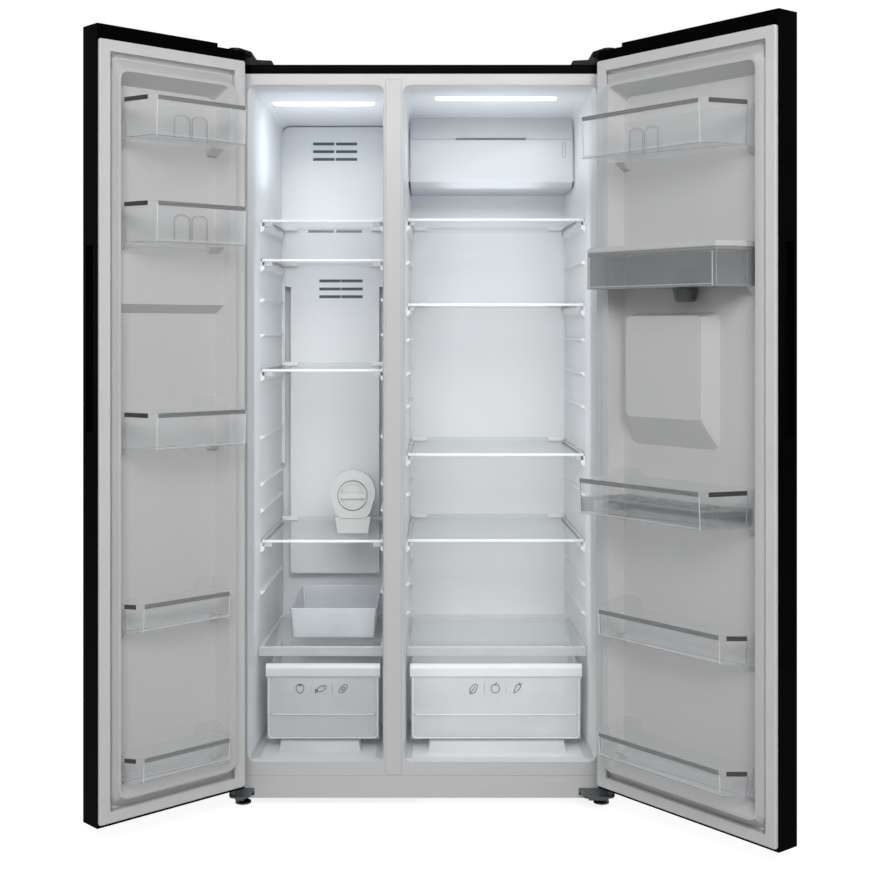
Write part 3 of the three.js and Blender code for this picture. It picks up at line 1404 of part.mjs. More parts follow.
function rightDoor() {
  const door = RIGHT_DOOR;
  const made = doorLiner(door);
  const carried = [RIGHT_BIN_1, EGG_BIN, RIGHT_BIN_3, RIGHT_BIN_4, TANK];
  const ribs = carried.flatMap((bin) => ledges(door.side, bin, made.pan));
  const body = cut(union(made.body, rightDoorBulge(), ribs), nicheTub(SEAT), waterWay(SEAT));
  const shell = cut(doorShell(door), nicheTub(SEAT));
  return buildDoor(door, [
    mesh('right_door_shell', shell, BLACK_GLOSS),
    mesh('right_door_liner', body, LINER_WHITE),
    mesh('right_door_gasket', gasket(door), GASKET_GREY),
    mesh('right_bin_1', doorBin(1, RIGHT_BIN_1), CLEAR),
    mesh('egg_bin', doorBin(1, EGG_BIN), CLEAR),
    mesh('right_bin_3', doorBin(1, RIGHT_BIN_3), CLEAR),
    mesh('right_bin_4', doorBin(1, RIGHT_BIN_4), CLEAR),
    mesh('egg_tray', eggTray(), CLEAR),
    mesh('water_tank', waterTank(), SMOKED),
    mesh('water_tank_lid', tankLid(), LINER_WHITE),
    mesh('dispenser_tap', dispenserTap(), SMOKED),
    mesh('dispenser_niche', dispenserNiche(), BLACK_PLASTIC),
    mesh('dispenser_paddle', dispenserPaddle(), BLACK_PLASTIC),
  ]);
}

const cabinet = new THREE.Group();
cabinet.add(
  mesh('outer_cabinet', outerCabinet(), BLACK_GLOSS),
  mesh('back_panel', backPanel(), DARK_STEEL),
  mesh('base_pan', basePan(), DARK_STEEL),
  mesh('cabinet_foam', cabinetFoam(), FOAM),
  mesh('front_frame', frontFrame(), FRAME_GREY),
  mesh('mullion_cover', mullionPlate(0, 0), FRAME_GREY),
  mesh('kick_plate', kickPlate(), FRAME_GREY),
  mesh('freezer_liner', liner(FREEZER), LINER_WHITE),
  mesh('fridge_liner', liner(FRIDGE), LINER_WHITE),
  mesh('freezer_rear_cover', freezerRearCover(), LINER_WHITE),
  mesh('fridge_air_duct', fridgeAirDuct(), LINER_WHITE),
  mesh('freezer_light', light(FREEZER, FREEZER_LIGHT), CLEAR),
  mesh('fridge_light', light(FRIDGE, FRIDGE_LIGHT), CLEAR),
  ...FREEZER.shelves.map((top, i) => mesh(`freezer_shelf_${i + 1}`, shelf(FREEZER, top), GLASS)),
  ...FRIDGE.shelves.map((top, i) => mesh(`fridge_shelf_${i + 1}`, shelf(FRIDGE, top), GLASS)),
  mesh('freezer_drawer_cover', drawerCover(FREEZER), GLASS),
  mesh('crisper_cover', drawerCover(FRIDGE), GLASS),
  mesh('freezer_drawer', drawer(FREEZER), CLEAR),
  mesh('crisper_drawer', drawer(FRIDGE), CLEAR),
  mesh('ice_bin', iceBin(), CLEAR),
  mesh('ice_maker_housing', iceMaker(), LINER_WHITE),
  mesh('ice_maker_knob', iceMakerKnob(), LINER_WHITE),
  mesh('evaporator', evaporator(), STEEL),
  mesh('compressor', compressor(), DARK_STEEL),
  mesh('compressor_cover', compressorCover(), DARK_STEEL),
);
for (const [name, side] of [['left', -1], ['right', 1]]) {
  cabinet.add(
    mesh(`${name}_top_hinge`, topHinge(side), STEEL),
    mesh(`${name}_hinge_cover`, hingeCover(side), BLACK_PLASTIC),
    mesh(`${name}_bottom_hinge`, bottomHinge(side), STEEL),
    mesh(`${name}_front_foot`, foot(side), BLACK_PLASTIC),
  );
}
cabinet.add(leftDoor(), rightDoor());

// The part stands on the floor, centred on the middle of everything it takes up.
const refrigerator = new THREE.Group();
refrigerator.add(cabinet);
const bounds = new THREE.Box3().setFromObject(refrigerator, true);
const middle = bounds.getCenter(new THREE.Vector3());
cabinet.position.set(-middle.x, -middle.y, -bounds.min.z);

export default refrigerator;
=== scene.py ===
"""Looks of a side by side refrigerator with both doors open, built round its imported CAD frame.

Metres, +Z up, the front faces -Y. Pieces on a door are worked out with the door closed, in the
cabinet's own directions, and then turned open with it.
"""

import json
import math
from fnmatch import fnmatch

import bmesh
import bpy
import numpy as np
from mathutils import Matrix, Vector

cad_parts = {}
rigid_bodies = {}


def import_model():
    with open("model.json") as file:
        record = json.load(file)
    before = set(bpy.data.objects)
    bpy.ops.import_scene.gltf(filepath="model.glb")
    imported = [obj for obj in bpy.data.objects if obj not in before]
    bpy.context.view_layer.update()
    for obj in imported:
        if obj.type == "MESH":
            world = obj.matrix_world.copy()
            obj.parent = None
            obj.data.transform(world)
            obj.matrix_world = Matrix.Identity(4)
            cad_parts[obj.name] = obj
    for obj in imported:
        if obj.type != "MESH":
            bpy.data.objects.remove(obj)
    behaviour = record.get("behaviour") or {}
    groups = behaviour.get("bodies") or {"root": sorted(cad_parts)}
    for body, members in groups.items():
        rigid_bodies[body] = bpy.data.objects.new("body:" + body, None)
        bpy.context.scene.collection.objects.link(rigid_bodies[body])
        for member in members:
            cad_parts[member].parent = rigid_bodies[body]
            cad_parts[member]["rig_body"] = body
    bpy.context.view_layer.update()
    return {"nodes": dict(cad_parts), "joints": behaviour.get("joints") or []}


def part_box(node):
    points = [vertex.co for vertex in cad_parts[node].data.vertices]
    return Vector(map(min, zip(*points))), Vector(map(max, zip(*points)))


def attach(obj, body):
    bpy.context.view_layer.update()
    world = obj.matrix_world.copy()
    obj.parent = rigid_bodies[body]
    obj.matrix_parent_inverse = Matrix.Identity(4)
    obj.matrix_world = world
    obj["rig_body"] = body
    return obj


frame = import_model()
MM = 0.001
UP, FRONT, BACK = (0, 0, 1), (0, -1, 0), (0, 1, 0)
FAR = 1.0  # metres past a piece, for the sides of a box that cut nothing


# ---------------------------------------------------------------- node trees

def add_node(tree, kind, inputs=None, **properties):
    """Adds a node to a tree. Each input is a socket to link from, or a value."""
    made = tree.nodes.new(kind)
    for key, value in properties.items():
        setattr(made, key, value)
    for key, value in (inputs or {}).items():
        if isinstance(value, bpy.types.NodeSocket):
            tree.links.new(value, made.inputs[key])
        else:
            made.inputs[key].default_value = value
    return made


def geometry_group(name):
    """An empty geometry node group, with its input and output geometry sockets."""
    group = bpy.data.node_groups.new(name, "GeometryNodeTree")
    group.interface.new_socket("Geometry", in_out="INPUT", socket_type="NodeSocketGeometry")
    group.interface.new_socket("Geometry", in_out="OUTPUT", socket_type="NodeSocketGeometry")
    return group, group.nodes.new("NodeGroupInput").outputs[0], group.nodes.new("NodeGroupOutput").inputs[0]


# ---------------------------------------------------------------- materials

class Finish:
    """A node material round one Principled shader, with object-space patterns feeding it."""

    def __init__(self, name, **settings):
        self.material = bpy.data.materials.new(name)
        self.material.use_nodes = True
        self.tree = self.material.node_tree
        self.shader = self.tree.nodes["Principled BSDF"]
        self.place = self.node("ShaderNodeTexCoord").outputs["Object"]
        for socket, value in settings.items():
            self.shader.inputs[socket.replace("_", " ")].default_value = value

    def node(self, kind, inputs=None, **properties):
        return add_node(self.tree, kind, inputs, **properties)

    def feed(self, socket, value):
        self.tree.links.new(value, self.shader.inputs[socket])
        return self

    def noise(self, scale, detail, stretch):
        """Soft 0 to 1 pattern, scale in features per metre, drawn out along an axis by a stretch below 1."""
        place = self.place
        if stretch != (1, 1, 1):
            place = self.node("ShaderNodeMapping", {"Vector": place, "Scale": stretch}).outputs[0]
        pattern = {"Vector": place, "Scale": scale, "Detail": detail}
        return self.node("ShaderNodeTexNoise", pattern).outputs["Fac"]

    def ramp(self, value, low, high, start=0.3, end=0.7):
        """Maps a pattern's values from start to end onto low to high."""
        inputs = {"Value": value, "From Min": start, "From Max": end, "To Min": low, "To Max": high}
        return self.node("ShaderNodeMapRange", inputs).outputs["Result"]

    def vary(self, colour, amount, scale, stretch=(1, 1, 1)):
        """Base colour that drifts a little lighter and darker."""
        dark = [c * (1 - amount) for c in colour]
        light = [min(1, c * (1 + amount)) for c in colour]
        pattern = self.ramp(self.noise(scale, 4, stretch), 0, 1)
        drift = {"Factor": pattern, 6: (*dark, 1), 7: (*light, 1)}
        return self.feed("Base Color", self.node("ShaderNodeMix", drift, data_type="RGBA").outputs[2])

    def rough(self, low, high, scale, stretch=(1, 1, 1)):
        return self.feed("Roughness", self.ramp(self.noise(scale, 3, stretch), low, high))

    def bump(self, height, scale, stretch=(1, 1, 1)):
        """Relief of the given height in millimetres."""
        relief = {"Strength": 1, "Distance": height * MM, "Height": self.noise(scale, 2, stretch)}
        return self.feed("Normal", self.node("ShaderNodeBump", relief).outputs[0])

    def see_through(self, face_on, edge_on):
        """Alpha that grows from face on to the grazing edges, as thin clear plastic and glass do."""
        steepness = 2.2
        facing = self.node("ShaderNodeLayerWeight", {"Blend": 0.5}).outputs["Facing"]
        bent = self.node("ShaderNodeMath", {0: facing, 1: steepness}, operation="POWER").outputs[0]
        return self.feed("Alpha", self.ramp(bent, face_on, edge_on, 0, 1))

    def glow(self, colour, strength):
        self.shader.inputs["Emission Color"].default_value = (*colour, 1)
        self.shader.inputs["Emission Strength"].default_value = strength
        return self


def coat(name, colour, drift, rough, relief, **settings):
    """A finish with its colour's (drift, scale), its roughness's (low, high, scale) and its relief's
    (height, scale)."""
    return Finish(name, **settings).vary(colour, *drift).rough(*rough).bump(*relief)


def gloss_black(name, specular, low, high):
    colour = (0.0012, 0.0012, 0.0013)
    return coat(name, colour, (0.3, 6), (low, high, 8), (0.012, 90), Specular_IOR_Level=specular).material


def white_plastic(name, colour, low=0.28, high=0.42, drift=0.02):
    return coat(name, colour, (drift, 3), (low, high, 9), (0.02, 260)).material


def clear_plastic(name, colour, face_on, edge_on):
    made = coat(name, colour, (0.04, 12), (0.05, 0.12, 20), (0.03, 60), IOR=1.49)
    return made.see_through(face_on, edge_on).material


def matt(name, colour, drift, rough, relief):
    return coat(name, colour, drift, rough, relief).material


def metal(name, colour, drift, rough, relief):
    return coat(name, colour, drift, rough, relief, Metallic=1.0).material


def brushed_metal(name, colour, drift, low, high):
    """Coated metal, its grain drawn out along X and Y."""
    grain = (0.02, 0.02, 1)
    made = Finish(name, Metallic=0.5).vary(colour, drift, 500, grain).rough(low, high, 400, grain)
    return made.bump(0.01, 900, grain).material


def shelf_glass():
    made = coat("shelf_glass", (0.74, 0.80, 0.79), (0.03, 8), (0.02, 0.05, 10), (0.01, 30), IOR=1.5)
    return made.see_through(0.06, 0.28).material


def led_lens():
    made = Finish("led_lens").vary((0.9, 0.93, 0.95), 0.02, 40).rough(0.2, 0.3, 60)
    return made.bump(0.1, 120, (1, 0.1, 1)).glow((0.93, 0.97, 1.0), 2.2).material


def black_plastic():
    rough, relief = (0.38, 0.52, 60), (0.05, 900)
    made = coat("black_plastic", (0.005, 0.005, 0.0055), (0.2, 40), rough, relief, Specular_IOR_Level=0.15)
    return made.material


GLOSS_BLACK = gloss_black("gloss_black", 0.006, 0.14, 0.22)
DOOR_BLACK = gloss_black("black_glass", 0.03, 0.1, 0.16)
BLACK_PLASTIC = black_plastic()
FRAME_GREY = white_plastic("frame_grey", (0.64, 0.64, 0.64), drift=0.01)
LINER_WHITE = white_plastic("liner_white", (0.80, 0.815, 0.83))
DOOR_LINER = white_plastic("door_liner", (0.60, 0.60, 0.602))
WARM_WHITE = white_plastic("warm_white", (0.58, 0.58, 0.577))
# Liner white painted darker, as painted shade, for the air duct and the fronts of the raised floors.
PAINTED_SHADE_WHITE = white_plastic("painted_shade_white", (0.60, 0.615, 0.63))
# Bright white for white trims, and for the painted highlight lines on the drawers' fronts.
BRIGHT_WHITE = white_plastic("bright_white", (0.86, 0.865, 0.87), 0.18, 0.3)
GASKET = matt("gasket_grey", (0.66, 0.66, 0.66), (0.02, 12), (0.5, 0.7, 50), (0.05, 500))
# Dark grey for painted shade in the duct's crease, its slot and the gaskets' gaps, and for real dark lines:
# the duct grip's outline and the signs' separators.
SHADE_AND_LINE_GREY = matt("shade_and_line_grey", (0.26, 0.28, 0.30), (0.1, 40), (0.5, 0.6, 60), (0.02, 400))
INK = matt("ink_grey", (0.07, 0.07, 0.072), (0.15, 300), (0.45, 0.6, 200), (0.01, 900))
# Dark teal sheet behind the louvres: painted shade of the hollow behind them.
VENT_SHADE_TEAL = matt("vent_shade_teal", (0.11, 0.16, 0.19), (0.08, 60), (0.5, 0.6, 60), (0.02, 400))
CLEAR = clear_plastic("clear_plastic", (0.93, 0.945, 0.96), 0.04, 0.26)
# Darker clear plastic for the bins' rounded edges and dark edge lines: painted shade.
CLEAR_EDGE = clear_plastic("clear_edge", (0.50, 0.52, 0.57), 0.4, 0.65)
CLEAR_RIDGE = clear_plastic("clear_ridge", (0.66, 0.68, 0.71), 0.35, 0.5)
# Lighter clear plastic for the bins' bright edge lines: painted highlight.
CLEAR_PAINTED_HIGHLIGHT = clear_plastic("clear_light", (0.97, 0.98, 1.0), 0.5, 0.75)
DRAWER_CLEAR = clear_plastic("drawer_plastic", (0.95, 0.955, 0.96), 0.36, 0.8)
ICE_CLEAR = clear_plastic("ice_plastic", (0.84, 0.87, 0.91), 0.42, 0.75)
DRAWER_EDGE = clear_plastic("drawer_edge", (0.95, 0.96, 0.97), 0.8, 0.95)
BAND = clear_plastic("cover_band", (0.70, 0.71, 0.72), 0.62, 0.9)
SMOKED = clear_plastic("smoked_plastic", (0.40, 0.41, 0.42), 0.36, 0.8)
SMOKED_EDGE = clear_plastic("smoked_edge", (0.62, 0.64, 0.66), 0.6, 0.9)
TAP = clear_plastic("tap_plastic", (0.11, 0.115, 0.12), 0.6, 0.9)
GLASS = shelf_glass()
GLASS_EDGE = clear_plastic("glass_edge", (0.84, 0.87, 0.87), 0.7, 0.95)
STEEL = metal("hinge_steel", (0.20, 0.23, 0.24), (0.15, 60), (0.32, 0.48, 90), (0.04, 700))
SCREW = metal("screw_steel", (0.35, 0.36, 0.37), (0.12, 300), (0.25, 0.4, 500), (0.01, 900))
DARK_STEEL = matt("painted_sheet", (0.05, 0.05, 0.052), (0.15, 12), (0.4, 0.55, 40), (0.05, 500))
ALUMINIUM = brushed_metal("trim_aluminium", (0.34, 0.345, 0.35), 0.05, 0.22, 0.34)
# The same brushed metal made dark for the bins' end strips: a painted dark reflection.
PAINTED_DARK_TRIM = brushed_metal("trim_painted_dark_reflection", (0.09, 0.09, 0.092), 0.08, 0.2, 0.3)
FOAM = matt("foam", (0.60, 0.59, 0.56), (0.08, 60), (0.8, 0.95, 40), (0.4, 300))
LED_LENS = led_lens()


# ---------------------------------------------------------------- edges and finishes of the CAD nodes

def smooth_group(limit_degrees):
    """Shades a mesh smooth except across edges over the limit."""
    group, source, result = geometry_group("smooth_by_angle")
    faces = add_node(group, "GeometryNodeSetShadeSmooth", {"Geometry": source}).outputs[0]
    angle = add_node(group, "GeometryNodeInputMeshEdgeAngle").outputs["Unsigned Angle"]
    sharp = add_node(group, "FunctionNodeCompare", {0: angle, 1: math.radians(limit_degrees)}).outputs[0]
    edges = {"Geometry": faces, "Selection": sharp, "Shade Smooth": False}
    group.links.new(add_node(group, "GeometryNodeSetShadeSmooth", edges, domain="EDGE").outputs[0], result)
    return group


SMOOTH = smooth_group(28)


def finish_in_box(name, finish, low, high):
    """Gives the faces of a CAD node whose centres lie in a box another finish."""
    group, source, result = geometry_group(f"{name}_{finish.name}")
    position = add_node(group, "GeometryNodeInputPosition").outputs[0]
    inside = add_node(group, "FunctionNodeBooleanMath")
    for slot, (corner, side) in enumerate(((low, "GREATER_THAN"), (high, "LESS_THAN"))):
        compared = {4: position, 5: corner}
        settings = {"data_type": "VECTOR", "mode": "ELEMENT", "operation": side}
        test = add_node(group, "FunctionNodeCompare", compared, **settings)
        group.links.new(test.outputs[0], inside.inputs[slot])
    paint = {"Geometry": source, "Selection": inside.outputs[0], "Material": finish}
    group.links.new(add_node(group, "GeometryNodeSetMaterial", paint).outputs[0], result)
    frame["nodes"][name].modifiers.new("finish_in_box", "NODES").node_group = group


def soften(piece, radius, segments=2):
    """Rounds the piece's sharp edges by a radius in millimetres and shades it smooth.
    A second material, where the piece has one, goes on the rounded edges."""
    piece.modifiers.new("weld", "WELD").merge_threshold = 0.01 * MM
    if radius:
        made = piece.modifiers.new("bevel", "BEVEL")
        made.width = radius * MM
        made.segments = segments
        made.limit_method = "ANGLE"
        made.angle_limit = math.radians(32)
        made.miter_outer = "MITER_ARC"
        made.material = len(piece.data.materials) - 1
    piece.modifiers.new("smooth", "NODES").node_group = SMOOTH
    if radius:
        piece.modifiers.new("even", "WEIGHTED_NORMAL").keep_sharp = True


# The finish, the finish of the rounded edges, their radius in millimetres, and the nodes.
LOOKS = (
    (GLOSS_BLACK, None, 0.6, "outer_cabinet"),
    (DOOR_BLACK, None, 0.6, "*_door_shell"),
    (FRAME_GREY, None, 0.8, "front_frame mullion_cover kick_plate"),
    (DOOR_LINER, None, 2.0, "*_door_liner"),
    (GASKET, None, 0.5, "*_gasket"),
    (WARM_WHITE, None, 1.2, "ice_maker_*"),
    (LED_LENS, None, 0.5, "*_light"),
    (DRAWER_CLEAR, DRAWER_EDGE, 1.2, "freezer_drawer crisper_drawer"),
    (ICE_CLEAR, DRAWER_EDGE, 1.2, "ice_bin"),
    # The bins' rounded edges take the darker clear plastic, painted shade along them.
    (CLEAR, CLEAR_EDGE, 1.6, "left_bin_* right_bin_* egg_bin"),
    (CLEAR, CLEAR_RIDGE, 0.5, "egg_tray"),
    (SMOKED, SMOKED_EDGE, 1.0, "water_tank"),
    (TAP, None, 0.8, "dispenser_tap"),
    (GLASS, GLASS_EDGE, 0.8, "*_shelf_* freezer_drawer_cover crisper_cover"),
    (STEEL, None, 0.4, "*_hinge *_foot evaporator"),
    (BLACK_PLASTIC, None, 0.8, "*_hinge_cover dispenser_paddle"),
    (DARK_STEEL, None, 0.4, "back_panel base_pan compressor compressor_cover dispenser_niche"),
    (FOAM, None, 0, "cabinet_foam"),
    (DOOR_LINER, None, 1.5, "water_tank_lid"),
    (LINER_WHITE, None, 0, "freezer_liner fridge_liner freezer_rear_cover"),
    # The air duct takes the darker white: painted shade.
    (PAINTED_SHADE_WHITE, None, 0, "fridge_air_duct"),
)


def look_of(name):
    """The finish, edge finish and edge radius of a CAD node."""
    return next(look[:3] for look in LOOKS if any(fnmatch(name, pattern) for pattern in look[3].split()))


for name, node in frame["nodes"].items():
    finish, edge_finish, radius = look_of(name)
    node.data.materials.clear()
    node.data.materials.append(finish)
    if edge_finish:
        node.data.materials.append(edge_finish)
    soften(node, radius, segments=3 if radius > 1 else 2)


# ---------------------------------------------------------------- pieces made here

def round_angles(count):
    """Angles of points spaced evenly round a circle."""
    return [2 * math.pi * k / count for k in range(count)]


def piece(name, body, mesh, finish, slot, radius=0.0, turn=None):
    """Makes a piece from a bmesh, turned to its place and riding on a body."""
    bmesh.ops.recalc_face_normals(mesh, faces=mesh.faces)
    data = bpy.data.meshes.new(name)
    mesh.to_mesh(data)
    mesh.free()
    if turn is not None:
        data.transform(turn)
    data.materials.append(finish)
    made = bpy.data.objects.new(name, data)
    bpy.context.scene.collection.objects.link(made)
    soften(made, radius)
    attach(made, body)


def sweep(mesh, path, section, up=UP, closed=False):
    """Adds a bar along a path, with mitred corners. The corners of its section are (to the right of the
    path, along up), in millimetres."""
    narrowest = 0.4  # keeps the mitre of a sharp corner short
    path = [Vector(point) for point in path]
    up = Vector(up)
    rings = []
    for i, point in enumerate(path):
        steps = []
        if closed or i:
            steps.append((point - path[i - 1]).normalized())
        if closed or i < len(path) - 1:
            steps.append((path[(i + 1) % len(path)] - point).normalized())
        side = sum(steps, Vector()).cross(up).normalized()
        stretch = 1 / max(narrowest, side.dot(steps[0].cross(up).normalized()))
        rings.append([mesh.verts.new(point + side * a * stretch * MM + up * b * MM) for a, b in section])
    for i in range(len(rings) - (0 if closed else 1)):
        first, second = rings[i], rings[(i + 1) % len(rings)]
        for j in range(len(section)):
            k = (j + 1) % len(section)
            mesh.faces.new((first[j], first[k], second[k], second[j]))
    if not closed:
        mesh.faces.new(rings[0])
        mesh.faces.new(rings[-1])


def rectangle(a0, a1, b0, b1):
    """A bar's section, from a0 to a1 to the right and from b0 to b1 along up."""
    return [(a0, b0), (a1, b0), (a1, b1), (a0, b1)]


def slab(mesh, x, y, z):
    """Adds a block that reaches over an (x, y, z) range, each given as two ends in any order."""
    low = Vector([min(ends) for ends in (x, y, z)])
    high = Vector([max(ends) for ends in (x, y, z)])
    middle = Matrix.Translation((low + high) / 2) @ Matrix.Diagonal((*(high - low), 1))
    bmesh.ops.create_cube(mesh, size=1, matrix=middle)


def screw(mesh, place, facing, radius):
    """Adds a domed screw head, of a radius in millimetres, with a recess in its middle."""
    sides = 14
    turn = Vector(facing).to_track_quat("Z", "Y")
    rings = []
    for share, height in ((1.0, 0.0), (1.0, 0.25), (0.8, 0.42), (0.42, 0.5), (0.3, 0.2)):
        ring = []
        for angle in round_angles(sides):
            spot = Vector((math.cos(angle) * share, math.sin(angle) * share, height)) * radius * MM
            ring.append(mesh.verts.new(Vector(place) + turn @ spot))
        rings.append(ring)
    for first, second in zip(rings, rings[1:]):
        for k in range(sides):
            after = (k + 1) % sides
            mesh.faces.new((first[k], first[after], second[after], second[k]))
    mesh.faces.new(rings[-1])
    mesh.faces.new(rings[0])


def corners(node):
    """A node's corners as an array, in metres."""
    return np.array([v.co for v in frame["nodes"][node].data.vertices])


def side_edges(node):
    """Left and right edge of a node at its front and at its back: x0, x1, x0, x1."""
    points, zone = corners(node), 9 * MM
    near = points[points[:, 1] < points[:, 1].min() + zone]
    far = points[points[:, 1] > points[:, 1].max() - zone]
    return near[:, 0].min(), near[:, 0].max(), far[:, 0].min(), far[:, 0].max()


# ---------------------------------------------------------------- shelves

STRIP_SECTION = [(-0.5, -5.2), (4.4, -5.2), (5.4, -4.2), (5.4, -0.6), (4.4, 0.7), (-0.5, 0.7)]


def shelf_trims(name):
    """Front strip, side rails and rear corner clips of moulded plastic round a glass shelf."""
    glass, strip_depth, clip_width, inset = 5 * MM, 5 * MM, 44 * MM, 1 * MM
    block_width = (26 if name.startswith("freezer") else 18) * MM
    low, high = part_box(name)
    top, strip_y = low.z + glass, low.y + strip_depth
    x0, x1, back_x0, back_x1 = side_edges(name)
    strip = bmesh.new()
    sweep(strip, [(x1 - inset, strip_y, top), (x0 + inset, strip_y, top)], STRIP_SECTION)
    piece(f"{name}_front_strip", "cabinet", strip, BRIGHT_WHITE, "liner_white", 0.4)
    rails, clips = bmesh.new(), bmesh.new()
    for edge, back_edge, inward in ((x0, back_x0, 1), (x1, back_x1, -1)):
        path = [(edge, low.y + 8 * MM, top), (back_edge, high.y - 6 * MM, top)]
        inner, outer = sorted((-inward * 0.6, inward * 9.0))
        for foot, crown in ((-8.5, -5.2), (0.2, 1.6)):
            sweep(rails, path, rectangle(inner, outer, foot, crown))
        block_x = (edge + inward * inset, edge + inward * block_width)
        block_y, block_z = (low.y + 6 * MM, low.y + 34 * MM), (top - 16 * MM, top - 5.6 * MM)
        slab(rails, block_x, block_y, block_z)
        clip_x = (back_edge + inward * inset, back_edge + inward * clip_width)
        clip_y, clip_z = (high.y - 9 * MM, high.y - 1 * MM), (top - 1 * MM, top + 9.5 * MM)
        slab(clips, clip_x, clip_y, clip_z)
    piece(f"{name}_rails", "cabinet", rails, BAND, "clear_plastic", 0.6)
    piece(f"{name}_rear_clips", "cabinet", clips, BRIGHT_WHITE, "liner_white", 1.5)


for name in frame["nodes"]:
    if "_shelf_" in name:
        shelf_trims(name)


# ---------------------------------------------------------------- drawer covers

def cover_edge(name):
    """Band along a drawer cover's front, with a bright top edge."""
    low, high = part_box(name)
    inset, edge_y, band_back = 2 * MM, low.y + 5 * MM, low.y + 9 * MM
    band_low, band_high = (low.x - FAR, low.y - FAR, low.z - FAR), (high.x + FAR, band_back, high.z + FAR)
    finish_in_box(name, BAND, band_low, band_high)
    edge = bmesh.new()
    section = [(-1, -1.6), (5.6, -1.6), (5.6, -0.8), (4.8, 0.1), (-1, 0.1)]
    sweep(edge, [(high.x - inset, edge_y, high.z), (low.x + inset, edge_y, high.z)], section)
    piece(f"{name}_edge", "cabinet", edge, BRIGHT_WHITE, "liner_white", 0.3)


for name in ("freezer_drawer_cover", "crisper_cover"):
    cover_edge(name)


# ---------------------------------------------------------------- food outlines

SIGN_SCALE = 1.15 * MM  # metres for a unit of the outlines below


def ring_line(centre, wide, tall, lean, pinch=0.0):
    """A closed outline in the X-Z plane: an oval that is pinched towards its foot and leant over."""
    points = []
    for angle in round_angles(28):
        x = wide * math.sin(angle) * (1 + pinch * math.cos(angle))
        z = tall * math.cos(angle)
        turned_x = x * math.cos(lean) + z * math.sin(lean)
        turned_z = z * math.cos(lean) - x * math.sin(lean)
        points.append((centre[0] + turned_x * SIGN_SCALE, centre[1], centre[2] + turned_z * SIGN_SCALE))
    return points


def stroke(centre, *offsets):
    """An open line in the X-Z plane through offsets from a centre."""
    return [(centre[0] + x * SIGN_SCALE, centre[1], centre[2] + z * SIGN_SCALE) for x, z in offsets]


def berry(c):
    leaves = stroke(c, (-5, 9), (-2, 6), (0, 10), (2, 6), (5, 9))
    return [ring_line(c, 8, 9.5, 0, 0.25)], [leaves]


def fish(c):
    tail = stroke(c, (-8, -4), (-13, -9), (-13, -1), (-8, -3))
    return [ring_line(c, 5, 11, 1.1)], [tail, stroke(c, (5, 6), (4, 1))]


def pod(c):
    return [ring_line(c, 5.5, 11, 0.8), ring_line(c, 2, 4, 0.8)], []


def leaf(c):
    return [ring_line(c, 6, 11, 0.6, -0.2)], [stroke(c, (-8, -11), (-3, -4), (3, 4))]


def apple(c):
    return [ring_line(c, 9, 9, 0, 0.12)], [stroke(c, (0, 7), (1, 11), (4, 13))]


def carrot(c):
    tops = [stroke(c, (5, 8), (6, 13)), stroke(c, (6, 7), (11, 11))]
    return [ring_line(c, 4, 11, 0.6, 0.5)], tops


# ---------------------------------------------------------------- drawers

def drawer_lines(name, face, bar):
    """Painted highlights: a bright white step line across a drawer's front, and a bright white line round
    the front below its handle bar.
    """
    low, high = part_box(name)
    line_z, line_end = low.z + 63 * MM, 14 * MM
    lines = bmesh.new()
    step = [(high.x - line_end, face, line_z), (low.x + line_end, face, line_z)]
    sweep(lines, step, [(-0.5, -1.6), (0.5, -1.6), (1.0, 0), (0.5, 1.6), (-0.5, 1.6)])
    inset, chamfer = 7 * MM, 6 * MM
    left, right, foot, top = low.x + inset, high.x - inset, low.z + inset, bar - 3 * MM
    rim = [(right, face, top), (right, face, foot + chamfer), (right - chamfer, face, foot)]
    rim += [(left + chamfer, face, foot), (left, face, foot + chamfer), (left, face, top)]
    sweep(lines, rim, rectangle(-1.1, 1.1, -0.4, 0.5), FRONT)
    piece(f"{name}_face_lines", name, lines, BRIGHT_WHITE, "clear_plastic")


def drawer_signs(name, face, bar, foods, middle):
    """Three outlined foods that say what a drawer is for, with separators between them."""
    spacing, half_separator, height = 52 * MM, 13 * MM, bar - 29 * MM
    signs, separators = bmesh.new(), bmesh.new()
    thread = rectangle(-0.85, 0.85, 0.02, 0.12)
    for k, food in enumerate(foods):
        centre = (middle + (k - 1) * spacing, face, height)
        rings, lines = food(centre)
        for ring in rings:
            sweep(signs, ring, thread, FRONT, closed=True)
        for line in lines:
            sweep(signs, line, thread, FRONT)
        if k:
            x = centre[0] - spacing / 2
            gap = [(x, face, height - half_separator), (x, face, height + half_separator)]
            sweep(separators, gap, rectangle(-0.6, 0.6, 0.02, 0.12), FRONT)
    piece(f"{name}_signs", name, signs, INK, "dark_steel")
    piece(f"{name}_sign_separators", name, separators, SHADE_AND_LINE_GREY, "dark_steel")


def drawer_details(name, foods, middle_share):
    """White handle bar and the details of the face below it. The middle food stands at a share of the
    drawer's width."""
    bar_height, bar_depth = 31 * MM, 16 * MM
    low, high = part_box(name)
    bar = high.z - bar_height
    bar_low = (low.x - FAR, low.y - FAR, bar - 1 * MM)
    finish_in_box(name, LINER_WHITE, bar_low, (high.x + FAR, low.y + bar_depth, high.z + FAR))
    points = corners(name)
    face = points[points[:, 2] < bar - 9 * MM][:, 1].min()
    drawer_lines(name, face, bar)
    drawer_signs(name, face, bar, foods, low.x + (high.x - low.x) * middle_share)


drawer_details("freezer_drawer", (berry, fish, pod), middle_share=0.487)
drawer_details("crisper_drawer", (leaf, apple, carrot), middle_share=0.496)


# ---------------------------------------------------------------- air duct and rear cover

